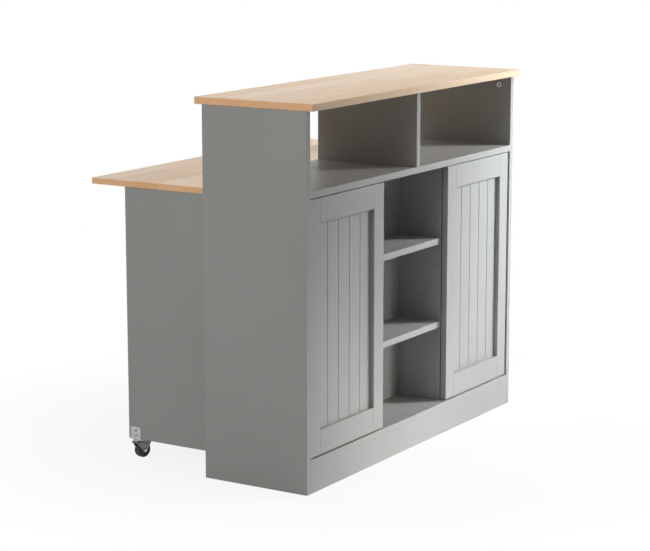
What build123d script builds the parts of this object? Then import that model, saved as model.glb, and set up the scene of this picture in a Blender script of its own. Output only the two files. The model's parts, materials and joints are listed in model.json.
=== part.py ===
"""Kitchen island: a tall cabinet with a lower table that rolls out of its back on casters.

Lengths are millimetres. X runs along the island, Y from the cabinet's front towards the table,
Z is up. The origin is on the floor, under the middle of the island with the table pulled out.
Left and right are named as seen by a person who faces the cabinet doors.
"""
import os
from math import sqrt

from build123d import *

# Cabinet carcass
body_length = 1150.0
body_depth = 320.0
body_height = 998.0
board = 18.0
plinth_height = 72.0
niche_height = 206.0
front_bay_depth = 160.0
back_panel_thickness = 5.0
open_bay_width = 360.0
board_ease = 0.8

# Wooden top of the cabinet
bar_top_thickness = 19.0
bar_top_front_overhang = 19.0
bar_top_back_overhang = 24.0
wood_ease = 1.6

# Doors
door_recess = 4.0
door_thickness = 17.0
door_side_gap = 4.0
door_end_gap = 3.0
door_back_gap = 3.0
door_stile_width = 50.0
door_rail_height = 66.0
door_panel_thickness = 5.0
door_panel_lap = 8.0
door_panel_clearance = 0.3
door_plank_count = 5
door_groove_width = 3.4
door_groove_turn = 45.0
door_ease = 1.0

# Shelves and their pins
bay_shelf_upper_underside = 548.5
bay_shelf_lower_underside = 305.5
cupboard_shelf_underside = 432.0
shelf_side_clearance = 0.8
cupboard_shelf_setback = 30.0
shelf_back_clearance = 1.0
pin_pitch = 67.5
pin_radius = 2.5
pin_length = 16.0
pin_hole_depth = 8.3
pin_edge_distance = 15.0

# Knock-down fittings
cam_radius = 7.5
cam_depth = 12.0
cam_edge_distance = 28.0
cam_slot_width = 1.8
cam_slot_depth = 2.5
cam_sink = 0.3
cam_bolt_radius = 3.0
cam_bolt_bite = 10.0
fitting_clearance = 0.15
dowel_radius = 4.0
dowel_length = 30.0
hole_end_clearance = 0.5
fitting_front_inset = 40.0
fitting_back_inset = 40.0

# Screws
screw_head_radius = 3.6
screw_head_height = 2.0
screw_shank_radius = 1.7
screw_length = 15.0
screw_recess_radius = 1.5
screw_recess_depth = 1.1
back_screw_pitch = 150.0
pan_head_radius = 4.4
pan_head_height = 2.4

# Concealed door hinges
hinge_end_distance = 100.0
hinge_cup_radius = 17.5
hinge_cup_depth = 12.0
hinge_cup_wall = 1.0
hinge_cup_edge_distance = 5.0
hinge_flange_height = 56.0
hinge_flange_width = 30.0
hinge_flange_thickness = 1.2
hinge_flange_ease = 8.0
hinge_pin_from_door_edge = 10.0
hinge_pin_from_door_front = 8.6
hinge_pin_radius = 1.5
hinge_pin_clearance = 0.08
hinge_eye_radius = 2.25
hinge_arm_thickness = 2.5
hinge_arm_height = 9.0
hinge_neck_reach = 11.3
hinge_neck_behind_front = 23.2
hinge_plate_thickness = 2.5
hinge_plate_length = 46.0
hinge_plate_height = 34.0
hinge_body_height = 13.0
hinge_body_thickness = 6.0
hinge_body_length = 40.0
hinge_screw_spacing = 22.0

# Bumpers between the doors and the partitions
bumper_radius = 4.0
bumper_clearance = 0.3
bumper_end_distance = 45.0

# Table that rolls out of the back
table_end_inset = 55.0
table_top_thickness = 17.0
table_top_gap = 3.0
table_leg_depth = 330.0
table_leg_ground_gap = 55.0
table_pull_out = 295.0
table_outer_overhang = 112.0
table_rail_height = 90.0
table_lower_rail_underside = 110.0
table_rail_setback = 16.0
table_stop_clearance = 15.0

# Guides that keep the table square in the cabinet
guide_cleat_height = 44.0
guide_cleat_front_clearance = 6.0
guide_cleat_drop = 32.0
guide_side_clearance = 2.0
guide_groove_depth = 9.0
guide_groove_clearance = 0.4
guide_pin_radius = 5.0
guide_pin_reach = 7.0
guide_pin_hold = 10.0
guide_pin_inset = 12.0
guide_end_clearance = 1.0
guide_screw_inset = 25.0

# Casters
caster_inset = 24.0
caster_inner_inset = 27.0
caster_axis_inside_face = 4.0
caster_leaf_width = 34.0
caster_leaf_height = 37.0
caster_sheet = 2.0
caster_leaf_ease = 3.0
caster_cup_radius = 10.5
caster_cup_height = 3.5
caster_race_radius = 9.4
caster_race_height = 2.4
caster_running_gap = 0.3
caster_pin_radius = 3.0
caster_pin_fit = 0.09
caster_rivet_radius = 5.0
caster_rivet_height = 2.5
caster_trail = 18.0
outer_caster_turn = 75.0
caster_screw_drop = 12.0
caster_screw_spacing = 13.6
wheel_radius = 21.5
wheel_width = 20.0
wheel_side_gap = 1.2
wheel_ease = 3.0
wheel_dish_radius = 13.0
wheel_dish_depth = 2.0
wheel_bore_fit = 0.08
axle_radius = 3.0
axle_head_radius = 4.8
axle_head_height = 1.6
fork_axle_boss_radius = 7.0
fork_front_reach = 9.0
fork_ear_radius = 4.0

# Brake pedals on the two outer casters
brake_pivot_trail = 34.0
brake_pivot_height = 41.2
brake_pin_radius = 1.6
brake_pin_fit = 0.09
brake_width = 18.0
brake_reach = 17.0
brake_rise = 5.0
brake_thickness = 2.6
brake_hub_radius = 3.2
brake_nose_offset = 4.1
brake_nose_drop = 5.6
brake_nose_thickness = 2.4
brake_tab_width = 9.0
brake_tab_length = 5.0

overrun = 1.0

# Places worked out from the sizes above
left_x = -body_length / 2
right_x = body_length / 2
overall_depth = bar_top_front_overhang + body_depth + table_pull_out + table_outer_overhang
front_y = bar_top_front_overhang - overall_depth / 2
back_y = front_y + body_depth
bay_back_y = front_y + front_bay_depth
panel_back_y = bay_back_y + back_panel_thickness
door_front_y = front_y + door_recess
partition_front_y = door_front_y + door_thickness + door_back_gap
bottom_board_underside = plinth_height
bottom_board_top = bottom_board_underside + board
niche_floor_top = body_height - niche_height
niche_floor_underside = niche_floor_top - board
bay_left_x = -open_bay_width / 2
bay_right_x = open_bay_width / 2
door_bottom_z = bottom_board_top + door_end_gap
door_top_z = niche_floor_underside - door_end_gap
table_left_x = left_x + table_end_inset
table_right_x = right_x - table_end_inset
table_top_z = niche_floor_underside - table_top_gap
table_top_underside = table_top_z - table_top_thickness
leg_outer_y = back_y + table_pull_out
leg_inner_y = leg_outer_y - table_leg_depth
table_outer_y = leg_outer_y + table_outer_overhang
table_travel = leg_inner_y - panel_back_y - table_stop_clearance
leaf_underside_z = table_leg_ground_gap - caster_sheet

boards = {}
groups = {}


def block(x0, x1, y0, y1, z0, z1):
    """A plain box between two corners."""
    centre = Pos((x0 + x1) / 2, (y0 + y1) / 2, (z0 + z1) / 2)
    return centre * Box(x1 - x0, y1 - y0, z1 - z0)


def eased_block(x0, x1, y0, y1, z0, z1, radius):
    """A box with every edge rounded over, as a sanded and painted board has."""
    plain = block(x0, x1, y0, y1, z0, z1)
    return fillet(plain.edges(), radius)


def rod(start, direction, radius, length):
    """A cylinder that starts at a point and runs along a direction."""
    return Plane(origin=start, z_dir=direction) * Pos(0, 0, length / 2) * Cylinder(radius, length)


def along(point, direction, distance):
    """The point that lies a distance away in a direction."""
    return tuple(p + d * distance for p, d in zip(point, direction))


def add_to(group, *solids):
    """Files solids under a node of like pieces."""
    groups.setdefault(group, []).extend(solids)


def drill(name, tool):
    """Cuts a hole in one board."""
    boards[name] = boards[name] - tool


def cam_joint(host, other, point, normal, bolt_direction, reach, prefix=""):
    """A cam in the host's face that pulls a bolt out of the other board.

    The point is the cam's centre on the face, the normal points out of the face, and the reach
    is how far the host's edge lies from the cam along the bolt.
    """
    inward = tuple(-n for n in normal)
    bore_start = along(point, normal, overrun)
    drill(host, rod(bore_start, inward, cam_radius + fitting_clearance, cam_depth + cam_sink + overrun))
    middle = along(point, inward, board / 2)
    hole_radius = cam_bolt_radius + fitting_clearance
    drill(host, rod(middle, bolt_direction, hole_radius, reach + overrun))
    bolt_length = reach + cam_bolt_bite
    drill(other, rod(middle, bolt_direction, hole_radius, bolt_length + hole_end_clearance))
    cam = rod(along(point, inward, cam_sink), inward, cam_radius, cam_depth)
    cam -= rod(middle, bolt_direction, hole_radius, cam_radius + overrun)
    slot_centre = Plane(origin=along(point, inward, cam_sink), z_dir=normal)
    cam -= slot_centre * Box(cam_radius, cam_slot_width, 2 * cam_slot_depth)
    cam -= slot_centre * Box(cam_slot_width, cam_radius, 2 * cam_slot_depth)
    add_to(prefix + "cam_locks", cam)
    add_to(prefix + "cam_bolts", rod(middle, bolt_direction, cam_bolt_radius, bolt_length))


def dowel_joint(first, second, middle, direction):
    """A wooden dowel with half its length in each of two boards."""
    start = along(middle, direction, -dowel_length / 2)
    add_to("wood_dowels", rod(start, direction, dowel_radius, dowel_length))
    hole_start = along(start, direction, -hole_end_clearance)
    hole_length = dowel_length + 2 * hole_end_clearance
    hole = rod(hole_start, direction, dowel_radius + fitting_clearance, hole_length)
    drill(first, hole)
    drill(second, hole)


def screw(point, direction):
    """A countersunk screw whose head is flush with the face that the point lies on."""
    head_plane = Plane(origin=point, z_dir=direction)
    head = head_plane * Pos(0, 0, screw_head_height / 2) * Cone(
        screw_head_radius, screw_shank_radius, screw_head_height)
    shank = rod(point, direction, screw_shank_radius, screw_length)
    recess = rod(along(point, direction, -overrun), direction, screw_recess_radius,
                 screw_recess_depth + overrun)
    return head + shank - recess


def shank_hole(point, direction):
    """The room that a screw's shank takes."""
    return rod(along(point, direction, -overrun), direction, screw_shank_radius + fitting_clearance,
               screw_length + overrun + hole_end_clearance)


def screw_hole(point, direction):
    """The room that a countersunk screw takes."""
    head_plane = Plane(origin=point, z_dir=direction)
    head = head_plane * Pos(0, 0, screw_head_height / 2) * Cone(
        screw_head_radius + fitting_clearance, screw_shank_radius + fitting_clearance, screw_head_height)
    return head + shank_hole(point, direction)


def pan_screw(point, direction):
    """A screw whose rounded head stands on the face that the point lies on."""
    outward = tuple(-d for d in direction)
    head = Pos(0, 0, pan_head_height / 2) * Cylinder(pan_head_radius, pan_head_height)
    head = Plane(origin=point, z_dir=outward) * fillet(head.edges().sort_by(Axis.Z)[-1], pan_head_height / 2)
    shank = rod(point, direction, screw_shank_radius, screw_length)
    recess = rod(along(point, outward, pan_head_height + overrun), direction, screw_recess_radius,
                 screw_recess_depth + overrun)
    return head + shank - recess


def evenly(first, last, count):
    """Places from first to last, equally spaced."""
    return [first + (last - first) * i / (count - 1) for i in range(count)]


def build_carcass():
    """The fixed boards of the tall cabinet."""
    inner_left = left_x + board
    inner_right = right_x - board
    boards["bar_top"] = eased_block(
        left_x, right_x, front_y - bar_top_front_overhang, back_y + bar_top_back_overhang,
        body_height, body_height + bar_top_thickness, wood_ease)
    boards["left_end_panel"] = eased_block(
        left_x, inner_left, front_y, back_y, 0, body_height, board_ease)
    boards["right_end_panel"] = eased_block(
        inner_right, right_x, front_y, back_y, 0, body_height, board_ease)
    boards["niche_floor"] = eased_block(
        inner_left, inner_right, front_y, back_y, niche_floor_underside, niche_floor_top, board_ease)
    boards["niche_divider"] = eased_block(
        -board / 2, board / 2, front_y, back_y, niche_floor_top, body_height, board_ease)
    boards["bottom_board"] = eased_block(
        inner_left, inner_right, front_y, bay_back_y, bottom_board_underside, bottom_board_top, board_ease)
    boards["left_partition"] = eased_block(
        bay_left_x - board, bay_left_x, partition_front_y, bay_back_y,
        bottom_board_top, niche_floor_underside, board_ease)
    boards["right_partition"] = eased_block(
        bay_right_x, bay_right_x + board, partition_front_y, bay_back_y,
        bottom_board_top, niche_floor_underside, board_ease)
    boards["front_plinth"] = eased_block(
        inner_left, inner_right, front_y, front_y + board, 0, bottom_board_underside, board_ease)
    boards["rear_plinth"] = eased_block(
        inner_left, inner_right, bay_back_y - board, bay_back_y, 0, bottom_board_underside, board_ease)
    boards["back_panel"] = eased_block(
        inner_left, inner_right, bay_back_y, panel_back_y,
        bottom_board_underside, niche_floor_underside, board_ease)


def build_shelves():
    """Two shelves in the open bay and one in each cupboard."""
    bay_shelves = {"bay_shelf_upper": (bay_shelf_upper_underside, shelf_side_clearance),
                   "bay_shelf_lower": (bay_shelf_lower_underside, 0)}
    for name, (underside, gap) in bay_shelves.items():
        boards[name] = eased_block(
            bay_left_x + gap, bay_right_x - gap, partition_front_y, bay_back_y - shelf_back_clearance,
            underside, underside + board, board_ease)
    cupboard_front = front_y + cupboard_shelf_setback
    spans = {"left_cupboard_shelf": (left_x + board, bay_left_x - board),
             "right_cupboard_shelf": (bay_right_x + board, right_x - board)}
    for name, (x0, x1) in spans.items():
        boards[name] = eased_block(
            x0 + shelf_side_clearance, x1 - shelf_side_clearance, cupboard_front,
            bay_back_y - shelf_back_clearance, cupboard_shelf_underside,
            cupboard_shelf_underside + board, board_ease)


def pin_row(host, face_x, outward, underside):
    """Three heights of pin holes in a face, and pins under the shelf at the middle height."""
    inward = (-outward[0], 0, 0)
    places_y = (partition_front_y + pin_edge_distance, bay_back_y - pin_edge_distance)
    middle_z = underside - pin_radius
    for y in places_y:
        for z in (middle_z - pin_pitch, middle_z, middle_z + pin_pitch):
            mouth = (face_x, y, z)
            drill(host, rod(along(mouth, outward, overrun), inward, pin_radius + fitting_clearance,
                            pin_hole_depth + overrun))
        start = along((face_x, y, middle_z), inward, pin_length / 2)
        add_to("shelf_pins", rod(start, outward, pin_radius, pin_length))


def fit_shelf_pins():
    """Pin holes and pins on both sides of every adjustable shelf."""
    right_facing = (1, 0, 0)
    left_facing = (-1, 0, 0)
    pin_row("left_partition", bay_left_x, right_facing, bay_shelf_upper_underside)
    pin_row("right_partition", bay_right_x, left_facing, bay_shelf_upper_underside)
    pin_row("left_end_panel", left_x + board, right_facing, cupboard_shelf_underside)
    pin_row("left_partition", bay_left_x - board, left_facing, cupboard_shelf_underside)
    pin_row("right_partition", bay_right_x + board, right_facing, cupboard_shelf_underside)
    pin_row("right_end_panel", right_x - board, left_facing, cupboard_shelf_underside)


def fit_cams():
    """Cams and bolts that hold the carcass together."""
    up, down = (0, 0, 1), (0, 0, -1)
    deep_places = (front_y + fitting_front_inset, back_y - fitting_back_inset)
    bay_places = (front_y + fitting_front_inset, bay_back_y - fitting_back_inset)
    cam_z = body_height - cam_edge_distance
    ends = (("left_end_panel", left_x + board, 1), ("right_end_panel", right_x - board, -1))
    for name, face_x, side in ends:
        for y in deep_places:
            cam_joint(name, "bar_top", (face_x, y, cam_z), (side, 0, 0), up, cam_edge_distance)
        toward_end = (-side, 0, 0)
        cam_x = face_x + side * cam_edge_distance
        for y in deep_places:
            cam_joint("niche_floor", name, (cam_x, y, niche_floor_underside), down, toward_end,
                      cam_edge_distance)
        for y in bay_places:
            cam_joint("bottom_board", name, (cam_x, y, bottom_board_underside), down, toward_end,
                      cam_edge_distance)
    for y in deep_places:
        cam_joint("niche_divider", "bar_top", (board / 2, y, cam_z), (1, 0, 0), up, cam_edge_distance)
    bay_middle_y = (partition_front_y + bay_back_y) / 2
    partitions = (("left_partition", bay_left_x - board, -1), ("right_partition", bay_right_x + board, 1))
    for name, face_x, side in partitions:
        top_point = (face_x, bay_middle_y, niche_floor_underside - cam_edge_distance)
        low_point = (face_x, bay_middle_y, bottom_board_top + cam_edge_distance)
        cam_joint(name, "niche_floor", top_point, (side, 0, 0), up, cam_edge_distance)
        cam_joint(name, "bottom_board", low_point, (side, 0, 0), down, cam_edge_distance)


def fit_dowels():
    """Wooden dowels that place the boards before the cams are tightened."""
    up, along_x = (0, 0, 1), (1, 0, 0)
    partition_places = (partition_front_y + fitting_front_inset / 2, bay_back_y - fitting_back_inset / 2)
    middles = (("left_partition", bay_left_x - board / 2), ("right_partition", bay_right_x + board / 2))
    for name, x in middles:
        for y in partition_places:
            dowel_joint(name, "bottom_board", (x, y, bottom_board_top), up)
            dowel_joint(name, "niche_floor", (x, y, niche_floor_underside), up)
    for y in (front_y + fitting_front_inset, back_y - fitting_back_inset):
        dowel_joint("niche_divider", "niche_floor", (0, y, niche_floor_top), up)
    shelf_middle_z = bay_shelf_lower_underside + board / 2
    for name, x in (("left_partition", bay_left_x), ("right_partition", bay_right_x)):
        for y in partition_places:
            dowel_joint(name, "bay_shelf_lower", (x, y, shelf_middle_z), along_x)
    plinths = (("front_plinth", front_y + board / 2), ("rear_plinth", bay_back_y - board / 2))
    plinth_middle_z = bottom_board_underside / 2
    for plinth, y in plinths:
        dowel_joint("left_end_panel", plinth, (left_x + board, y, plinth_middle_z), along_x)
        dowel_joint(plinth, "right_end_panel", (right_x - board, y, plinth_middle_z), along_x)
        for x in (bay_left_x, bay_right_x):
            dowel_joint(plinth, "bottom_board", (x, y, bottom_board_underside), up)


def fit_back_screws():
    """Screws through the back panel into the boards in front of it."""
    forward = (0, -1, 0)
    rows = []
    low_z = bottom_board_top + fitting_front_inset
    high_z = niche_floor_underside - fitting_front_inset
    count = max(2, round((high_z - low_z) / back_screw_pitch))
    middles = (("left_partition", bay_left_x - board / 2), ("right_partition", bay_right_x + board / 2))
    for host, x in middles:
        rows.extend((x, z, host) for z in evenly(low_z, high_z, count))
    length_count = max(2, round(body_length / back_screw_pitch))
    for x in evenly(left_x + board + fitting_front_inset / 2, right_x - board - fitting_front_inset / 2,
                    length_count):
        rows.append((x, bottom_board_top - board / 2, "bottom_board"))
    for x, z, host in rows:
        point = (x, panel_back_y, z)
        hole = screw_hole(point, forward)
        drill("back_panel", hole)
        drill(host, hole)
        add_to("back_panel_screws", screw(point, forward))


def door_span(side):
    """The outer and inner X of a door; side is -1 for the left door and 1 for the right."""
    outer = side * (body_length / 2 - board - door_side_gap)
    inner = side * open_bay_width / 2
    return outer, inner


def hinge_heights():
    """Heights of the two hinges of a door."""
    return door_bottom_z + hinge_end_distance, door_top_z - hinge_end_distance


def ordered(a, b):
    """Two values, the lower first."""
    return (a, b) if a < b else (b, a)


def build_door(side):
    """Stiles, rails and a grooved panel, with two hinge cups; side is -1 left, 1 right."""
    name = "left_door" if side < 0 else "right_door"
    outer, inner = door_span(side)
    front, back = door_front_y, door_front_y + door_thickness
    panel_front = back - door_panel_thickness

    outer_stile_in = outer - side * door_stile_width
    inner_stile_out = inner + side * door_stile_width
    panel_outer = outer_stile_in + side * door_panel_lap
    panel_inner = inner_stile_out - side * door_panel_lap
    opening_bottom = door_bottom_z + door_rail_height
    opening_top = door_top_z - door_rail_height
    panel_bottom = opening_bottom - door_panel_lap
    panel_top = opening_top + door_panel_lap

    rebate_x = ordered(panel_outer, panel_inner)
    rebate = block(*rebate_x, panel_front, back + overrun, panel_bottom, panel_top)
    outer_x = ordered(outer, outer_stile_in)
    inner_x = ordered(inner, inner_stile_out)
    rail_x = ordered(outer_stile_in, inner_stile_out)
    stile_z = (door_bottom_z, door_top_z)
    hinge_stile = eased_block(*outer_x, front, back, *stile_z, door_ease) - rebate
    free_stile = eased_block(*inner_x, front, back, *stile_z, door_ease) - rebate
    low_rail = eased_block(*rail_x, front, back, door_bottom_z, opening_bottom, door_ease) - rebate
    top_rail = eased_block(*rail_x, front, back, opening_top, door_top_z, door_ease) - rebate

    slack = door_panel_clearance
    panel = block(rebate_x[0] + slack, rebate_x[1] - slack, panel_front, back,
                  panel_bottom + slack, panel_top - slack)
    plank = (rail_x[1] - rail_x[0]) / door_plank_count
    groove_side = door_groove_width / sqrt(2)
    for i in range(1, door_plank_count):
        x = rail_x[0] + plank * i
        groove = Pos(x, panel_front, (panel_bottom + panel_top) / 2) * Rot(0, 0, door_groove_turn) * Box(
            groove_side, groove_side, panel_top - panel_bottom + overrun)
        panel -= groove

    cup_x = outer - side * (hinge_cup_edge_distance + hinge_cup_radius)
    pin_x = outer - side * hinge_pin_from_door_edge
    pin_y = front + hinge_pin_from_door_front
    into_door = (0, -1, 0)
    cups = []
    for z in hinge_heights():
        mouth = (cup_x, back, z)
        bore = rod(along(mouth, into_door, -overrun), into_door, hinge_cup_radius + fitting_clearance,
                   hinge_cup_depth + fitting_clearance + overrun)
        hinge_stile -= bore
        cup = rod(mouth, into_door, hinge_cup_radius, hinge_cup_depth)
        flange = block(cup_x - hinge_flange_width / 2, cup_x + hinge_flange_width / 2, back,
                       back + hinge_flange_thickness, z - hinge_flange_height / 2,
                       z + hinge_flange_height / 2)
        flange = fillet(flange.edges().filter_by(Axis.Y), hinge_flange_ease)
        hollow_radius = hinge_cup_radius - hinge_cup_wall
        hollow = rod(along(mouth, into_door, -hinge_flange_thickness - overrun), into_door, hollow_radius,
                     hinge_flange_thickness + overrun + hinge_cup_depth - hinge_cup_wall)
        rim = rod(mouth, (0, 1, 0), hinge_cup_radius, hinge_flange_thickness)
        cup = cup + flange + rim - hollow
        pin_half = sqrt(hollow_radius ** 2 - (pin_x - cup_x) ** 2)
        pin = rod((pin_x, pin_y, z - pin_half), (0, 0, 1), hinge_pin_radius, 2 * pin_half)
        cups.extend([cup, pin])

    boards[name + "_hinge_stile"] = hinge_stile
    boards[name + "_free_stile"] = free_stile
    boards[name + "_panel"] = panel
    add_to(name + "_rails", low_rail, top_rail)
    add_to(name + "_hinge_cups", *cups)


def build_hinge_arms(side):
    """Cranked arms on the end panel that carry the pins of one door."""
    host = "left_end_panel" if side < 0 else "right_end_panel"
    outer, _ = door_span(side)
    face_x = side * (body_length / 2 - board)
    pin_x = outer - side * hinge_pin_from_door_edge
    pin_y = door_front_y + hinge_pin_from_door_front
    neck_near = pin_x - side * hinge_neck_reach
    neck_far = neck_near - side * hinge_arm_thickness
    cross_y = door_front_y + hinge_neck_behind_front
    plate_front = cross_y + hinge_arm_thickness
    body_face = face_x - side * (hinge_plate_thickness + hinge_body_thickness)
    half = hinge_arm_height / 2
    for z in hinge_heights():
        low, high = z - half, z + half
        bar_y = (pin_y - hinge_arm_thickness / 2, pin_y + hinge_arm_thickness / 2)
        arm = block(*ordered(pin_x, neck_far), *bar_y, low, high)
        arm += rod((pin_x, pin_y, low), (0, 0, 1), hinge_eye_radius, hinge_arm_height)
        arm += block(*ordered(neck_near, neck_far), bar_y[0], plate_front, low, high)
        arm += block(*ordered(face_x, neck_far), cross_y, plate_front, low, high)
        arm += block(*ordered(face_x, body_face), cross_y, cross_y + hinge_body_length,
                     z - hinge_body_height / 2, z + hinge_body_height / 2)
        plate_inner = face_x - side * hinge_plate_thickness
        arm += block(*ordered(face_x, plate_inner), cross_y, cross_y + hinge_plate_length,
                     z - hinge_plate_height / 2, z + hinge_plate_height / 2)
        pin_hole = rod((pin_x, pin_y, low - overrun), (0, 0, 1), hinge_pin_radius + hinge_pin_clearance,
                       hinge_arm_height + 2 * overrun)
        arm -= pin_hole
        toward_panel = (side, 0, 0)
        screw_y = cross_y + hinge_plate_length / 2
        for offset in (-hinge_screw_spacing / 2, hinge_screw_spacing / 2):
            point = (plate_inner, screw_y, z + offset)
            hole = screw_hole(point, toward_panel)
            arm -= hole
            drill(host, hole)
            add_to("mounting_screws", screw(point, toward_panel))
        add_to("hinge_arms", arm)


def build_bumpers():
    """Soft pads on the partitions' front edges that the closed doors rest against."""
    thickness = door_back_gap - bumper_clearance
    for x in (bay_left_x - board / 2, bay_right_x + board / 2):
        for z in (door_bottom_z + bumper_end_distance, door_top_z - bumper_end_distance):
            pad = rod((x, partition_front_y, z), (0, -1, 0), bumper_radius, thickness)
            add_to("door_bumpers", fillet(pad.edges().sort_by(Axis.Y)[0], thickness / 3))


def build_table():
    """The lower table: a wooden top on two side legs with two rails."""
    boards["table_worktop"] = eased_block(
        table_left_x, table_right_x, leg_inner_y, table_outer_y, table_top_underside, table_top_z, wood_ease)
    leg_z = (table_leg_ground_gap, table_top_underside)
    legs = (("table_left_leg", table_left_x, table_left_x + board),
            ("table_right_leg", table_right_x - board, table_right_x))
    for name, x0, x1 in legs:
        boards[name] = eased_block(x0, x1, leg_inner_y, leg_outer_y, *leg_z, board_ease)
    rail_x = (table_left_x + board, table_right_x - board)
    rail_y = (leg_inner_y + table_rail_setback, leg_inner_y + table_rail_setback + board)
    boards["table_upper_rail"] = eased_block(
        *rail_x, *rail_y, table_top_underside - table_rail_height, table_top_underside, board_ease)
    boards["table_lower_rail"] = eased_block(
        *rail_x, *rail_y, table_lower_rail_underside, table_lower_rail_underside + table_rail_height,
        board_ease)
    cam_z = table_top_underside - cam_edge_distance
    rail_levels = {"table_upper_rail": table_top_underside - table_rail_height / 2,
                   "table_lower_rail": table_lower_rail_underside + table_rail_height / 2}
    for name, face_x, side in (("table_left_leg", rail_x[0], 1), ("table_right_leg", rail_x[1], -1)):
        for y in (rail_y[1] + fitting_front_inset, leg_outer_y - fitting_back_inset):
            cam_joint(name, "table_worktop", (face_x, y, cam_z), (side, 0, 0), (0, 0, 1),
                      cam_edge_distance, prefix="table_")
        for rail, z in rail_levels.items():
            cam_joint(rail, name, (face_x + side * cam_edge_distance, rail_y[1], z), (0, 1, 0),
                      (-side, 0, 0), cam_edge_distance, prefix="table_")


def build_guides():
    """Grooved cleats on the end panels and the pins on the legs that run in them."""
    cleat_top = table_top_underside - guide_cleat_drop
    cleat_low = cleat_top - guide_cleat_height
    pin_z = (cleat_top + cleat_low) / 2
    pin_y = leg_inner_y + guide_pin_inset
    groove_back = pin_y + guide_pin_radius + guide_end_clearance
    groove_front = pin_y - table_travel - guide_pin_radius - guide_end_clearance
    cleat_back = groove_back + guide_pin_radius * 2
    cleat_front = panel_back_y + guide_cleat_front_clearance
    groove_half = guide_pin_radius + guide_groove_clearance
    for side in (-1, 1):
        wall_x = side * (body_length / 2 - board)
        leg_face = side * (body_length / 2 - table_end_inset)
        cleat_face = leg_face + side * guide_side_clearance
        cleat = eased_block(*ordered(wall_x, cleat_face), cleat_front, cleat_back, cleat_low, cleat_top,
                            board_ease)
        groove_floor = cleat_face + side * guide_groove_depth
        groove = block(*ordered(groove_floor, cleat_face - side * overrun), groove_front, groove_back,
                       pin_z - groove_half, pin_z + groove_half)
        cleat -= groove
        toward_wall = (side, 0, 0)
        host = "left_end_panel" if side < 0 else "right_end_panel"
        screw_x = wall_x - side * screw_length / 3
        for y in (cleat_front + guide_screw_inset, cleat_back - guide_screw_inset):
            point = (screw_x, y, pin_z)
            counterbore = rod(point, (-side, 0, 0), screw_head_radius + fitting_clearance, board * 2)
            cleat -= counterbore
            cleat -= screw_hole(point, toward_wall)
            drill(host, screw_hole(point, toward_wall))
            add_to("mounting_screws", screw(point, toward_wall))
        add_to("guide_cleats", cleat)
        leg = "table_left_leg" if side < 0 else "table_right_leg"
        start = (leg_face - side * guide_pin_hold, pin_y, pin_z)
        pin_full = guide_pin_hold + guide_side_clearance + guide_pin_reach
        drill(leg, rod(start, toward_wall, guide_pin_radius + fitting_clearance, guide_pin_hold + overrun))
        add_to("guide_pins", rod(start, toward_wall, guide_pin_radius, pin_full))


def caster_places():
    """Name, leg side and swivel place of each caster."""
    axis_x = body_length / 2 - table_end_inset - caster_axis_inside_face
    outer_y = leg_outer_y - caster_inset
    inner_y = leg_inner_y + caster_inner_inset
    return (("outer_left", -1, -axis_x, outer_y), ("outer_right", 1, axis_x, outer_y),
            ("inner_left", -1, -axis_x, inner_y), ("inner_right", 1, axis_x, inner_y))


def build_caster_plate(side, x, y):
    """An angle plate on the leg's corner, with the swivel's upper cup and its king pin."""
    leg = "table_left_leg" if side < 0 else "table_right_leg"
    leg_face = side * (body_length / 2 - table_end_inset)
    leaf_face = leg_face + side * caster_sheet
    leg_inside = leg_face - side * board
    half = caster_leaf_width / 2
    leaf = block(*ordered(leg_face, leaf_face), y - half, y + half,
                 leaf_underside_z, leaf_underside_z + caster_leaf_height)
    top_corners = leaf.edges().filter_by(Axis.X).sort_by(Axis.Z)[-2:]
    leaf = fillet(top_corners, caster_leaf_ease)
    plate = leaf + block(*ordered(leaf_face, leg_inside), y - half, y + half,
                         leaf_underside_z, table_leg_ground_gap)
    down = (0, 0, -1)
    cup = rod((x, y, leaf_underside_z), down, caster_cup_radius, caster_cup_height)
    cup = fillet(cup.edges().sort_by(Axis.Z)[0], caster_cup_height / 3)
    race_top = leaf_underside_z - caster_cup_height - caster_running_gap
    disc_underside = race_top - caster_race_height - caster_sheet
    rivet_top = disc_underside - caster_running_gap
    pin_length_down = leaf_underside_z - rivet_top
    plate = plate + cup + rod((x, y, leaf_underside_z), down, caster_pin_radius, pin_length_down)
    plate += rod((x, y, rivet_top), down, caster_rivet_radius, caster_rivet_height)
    inward = (-side, 0, 0)
    screw_top = leaf_underside_z + caster_leaf_height - caster_screw_drop
    for z in (screw_top, screw_top - caster_screw_spacing):
        point = (leaf_face, y, z)
        hole = shank_hole(point, inward)
        plate -= hole
        drill(leg, hole)
        add_to("caster_screws", pan_screw(point, inward))
    add_to("caster_plates", plate)


def fork_outline(with_brake):
    """Outline of one fork arm, with the trail as its first axis and height as its second."""
    arm_top = leaf_underside_z - caster_cup_height - caster_running_gap - caster_race_height
    circles = Pos(caster_trail, wheel_radius) * Circle(fork_axle_boss_radius)
    rear_reach = caster_trail + fork_axle_boss_radius
    if with_brake:
        circles += Pos(brake_pivot_trail, brake_pivot_height) * Circle(fork_ear_radius)
        rear_reach = brake_pivot_trail
    top_bar_centre = (rear_reach - fork_front_reach) / 2
    bar = Pos(top_bar_centre, arm_top - caster_sheet / 2) * Rectangle(
        rear_reach + fork_front_reach, caster_sheet)
    return make_hull(circles.edges() + bar.edges())


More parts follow.
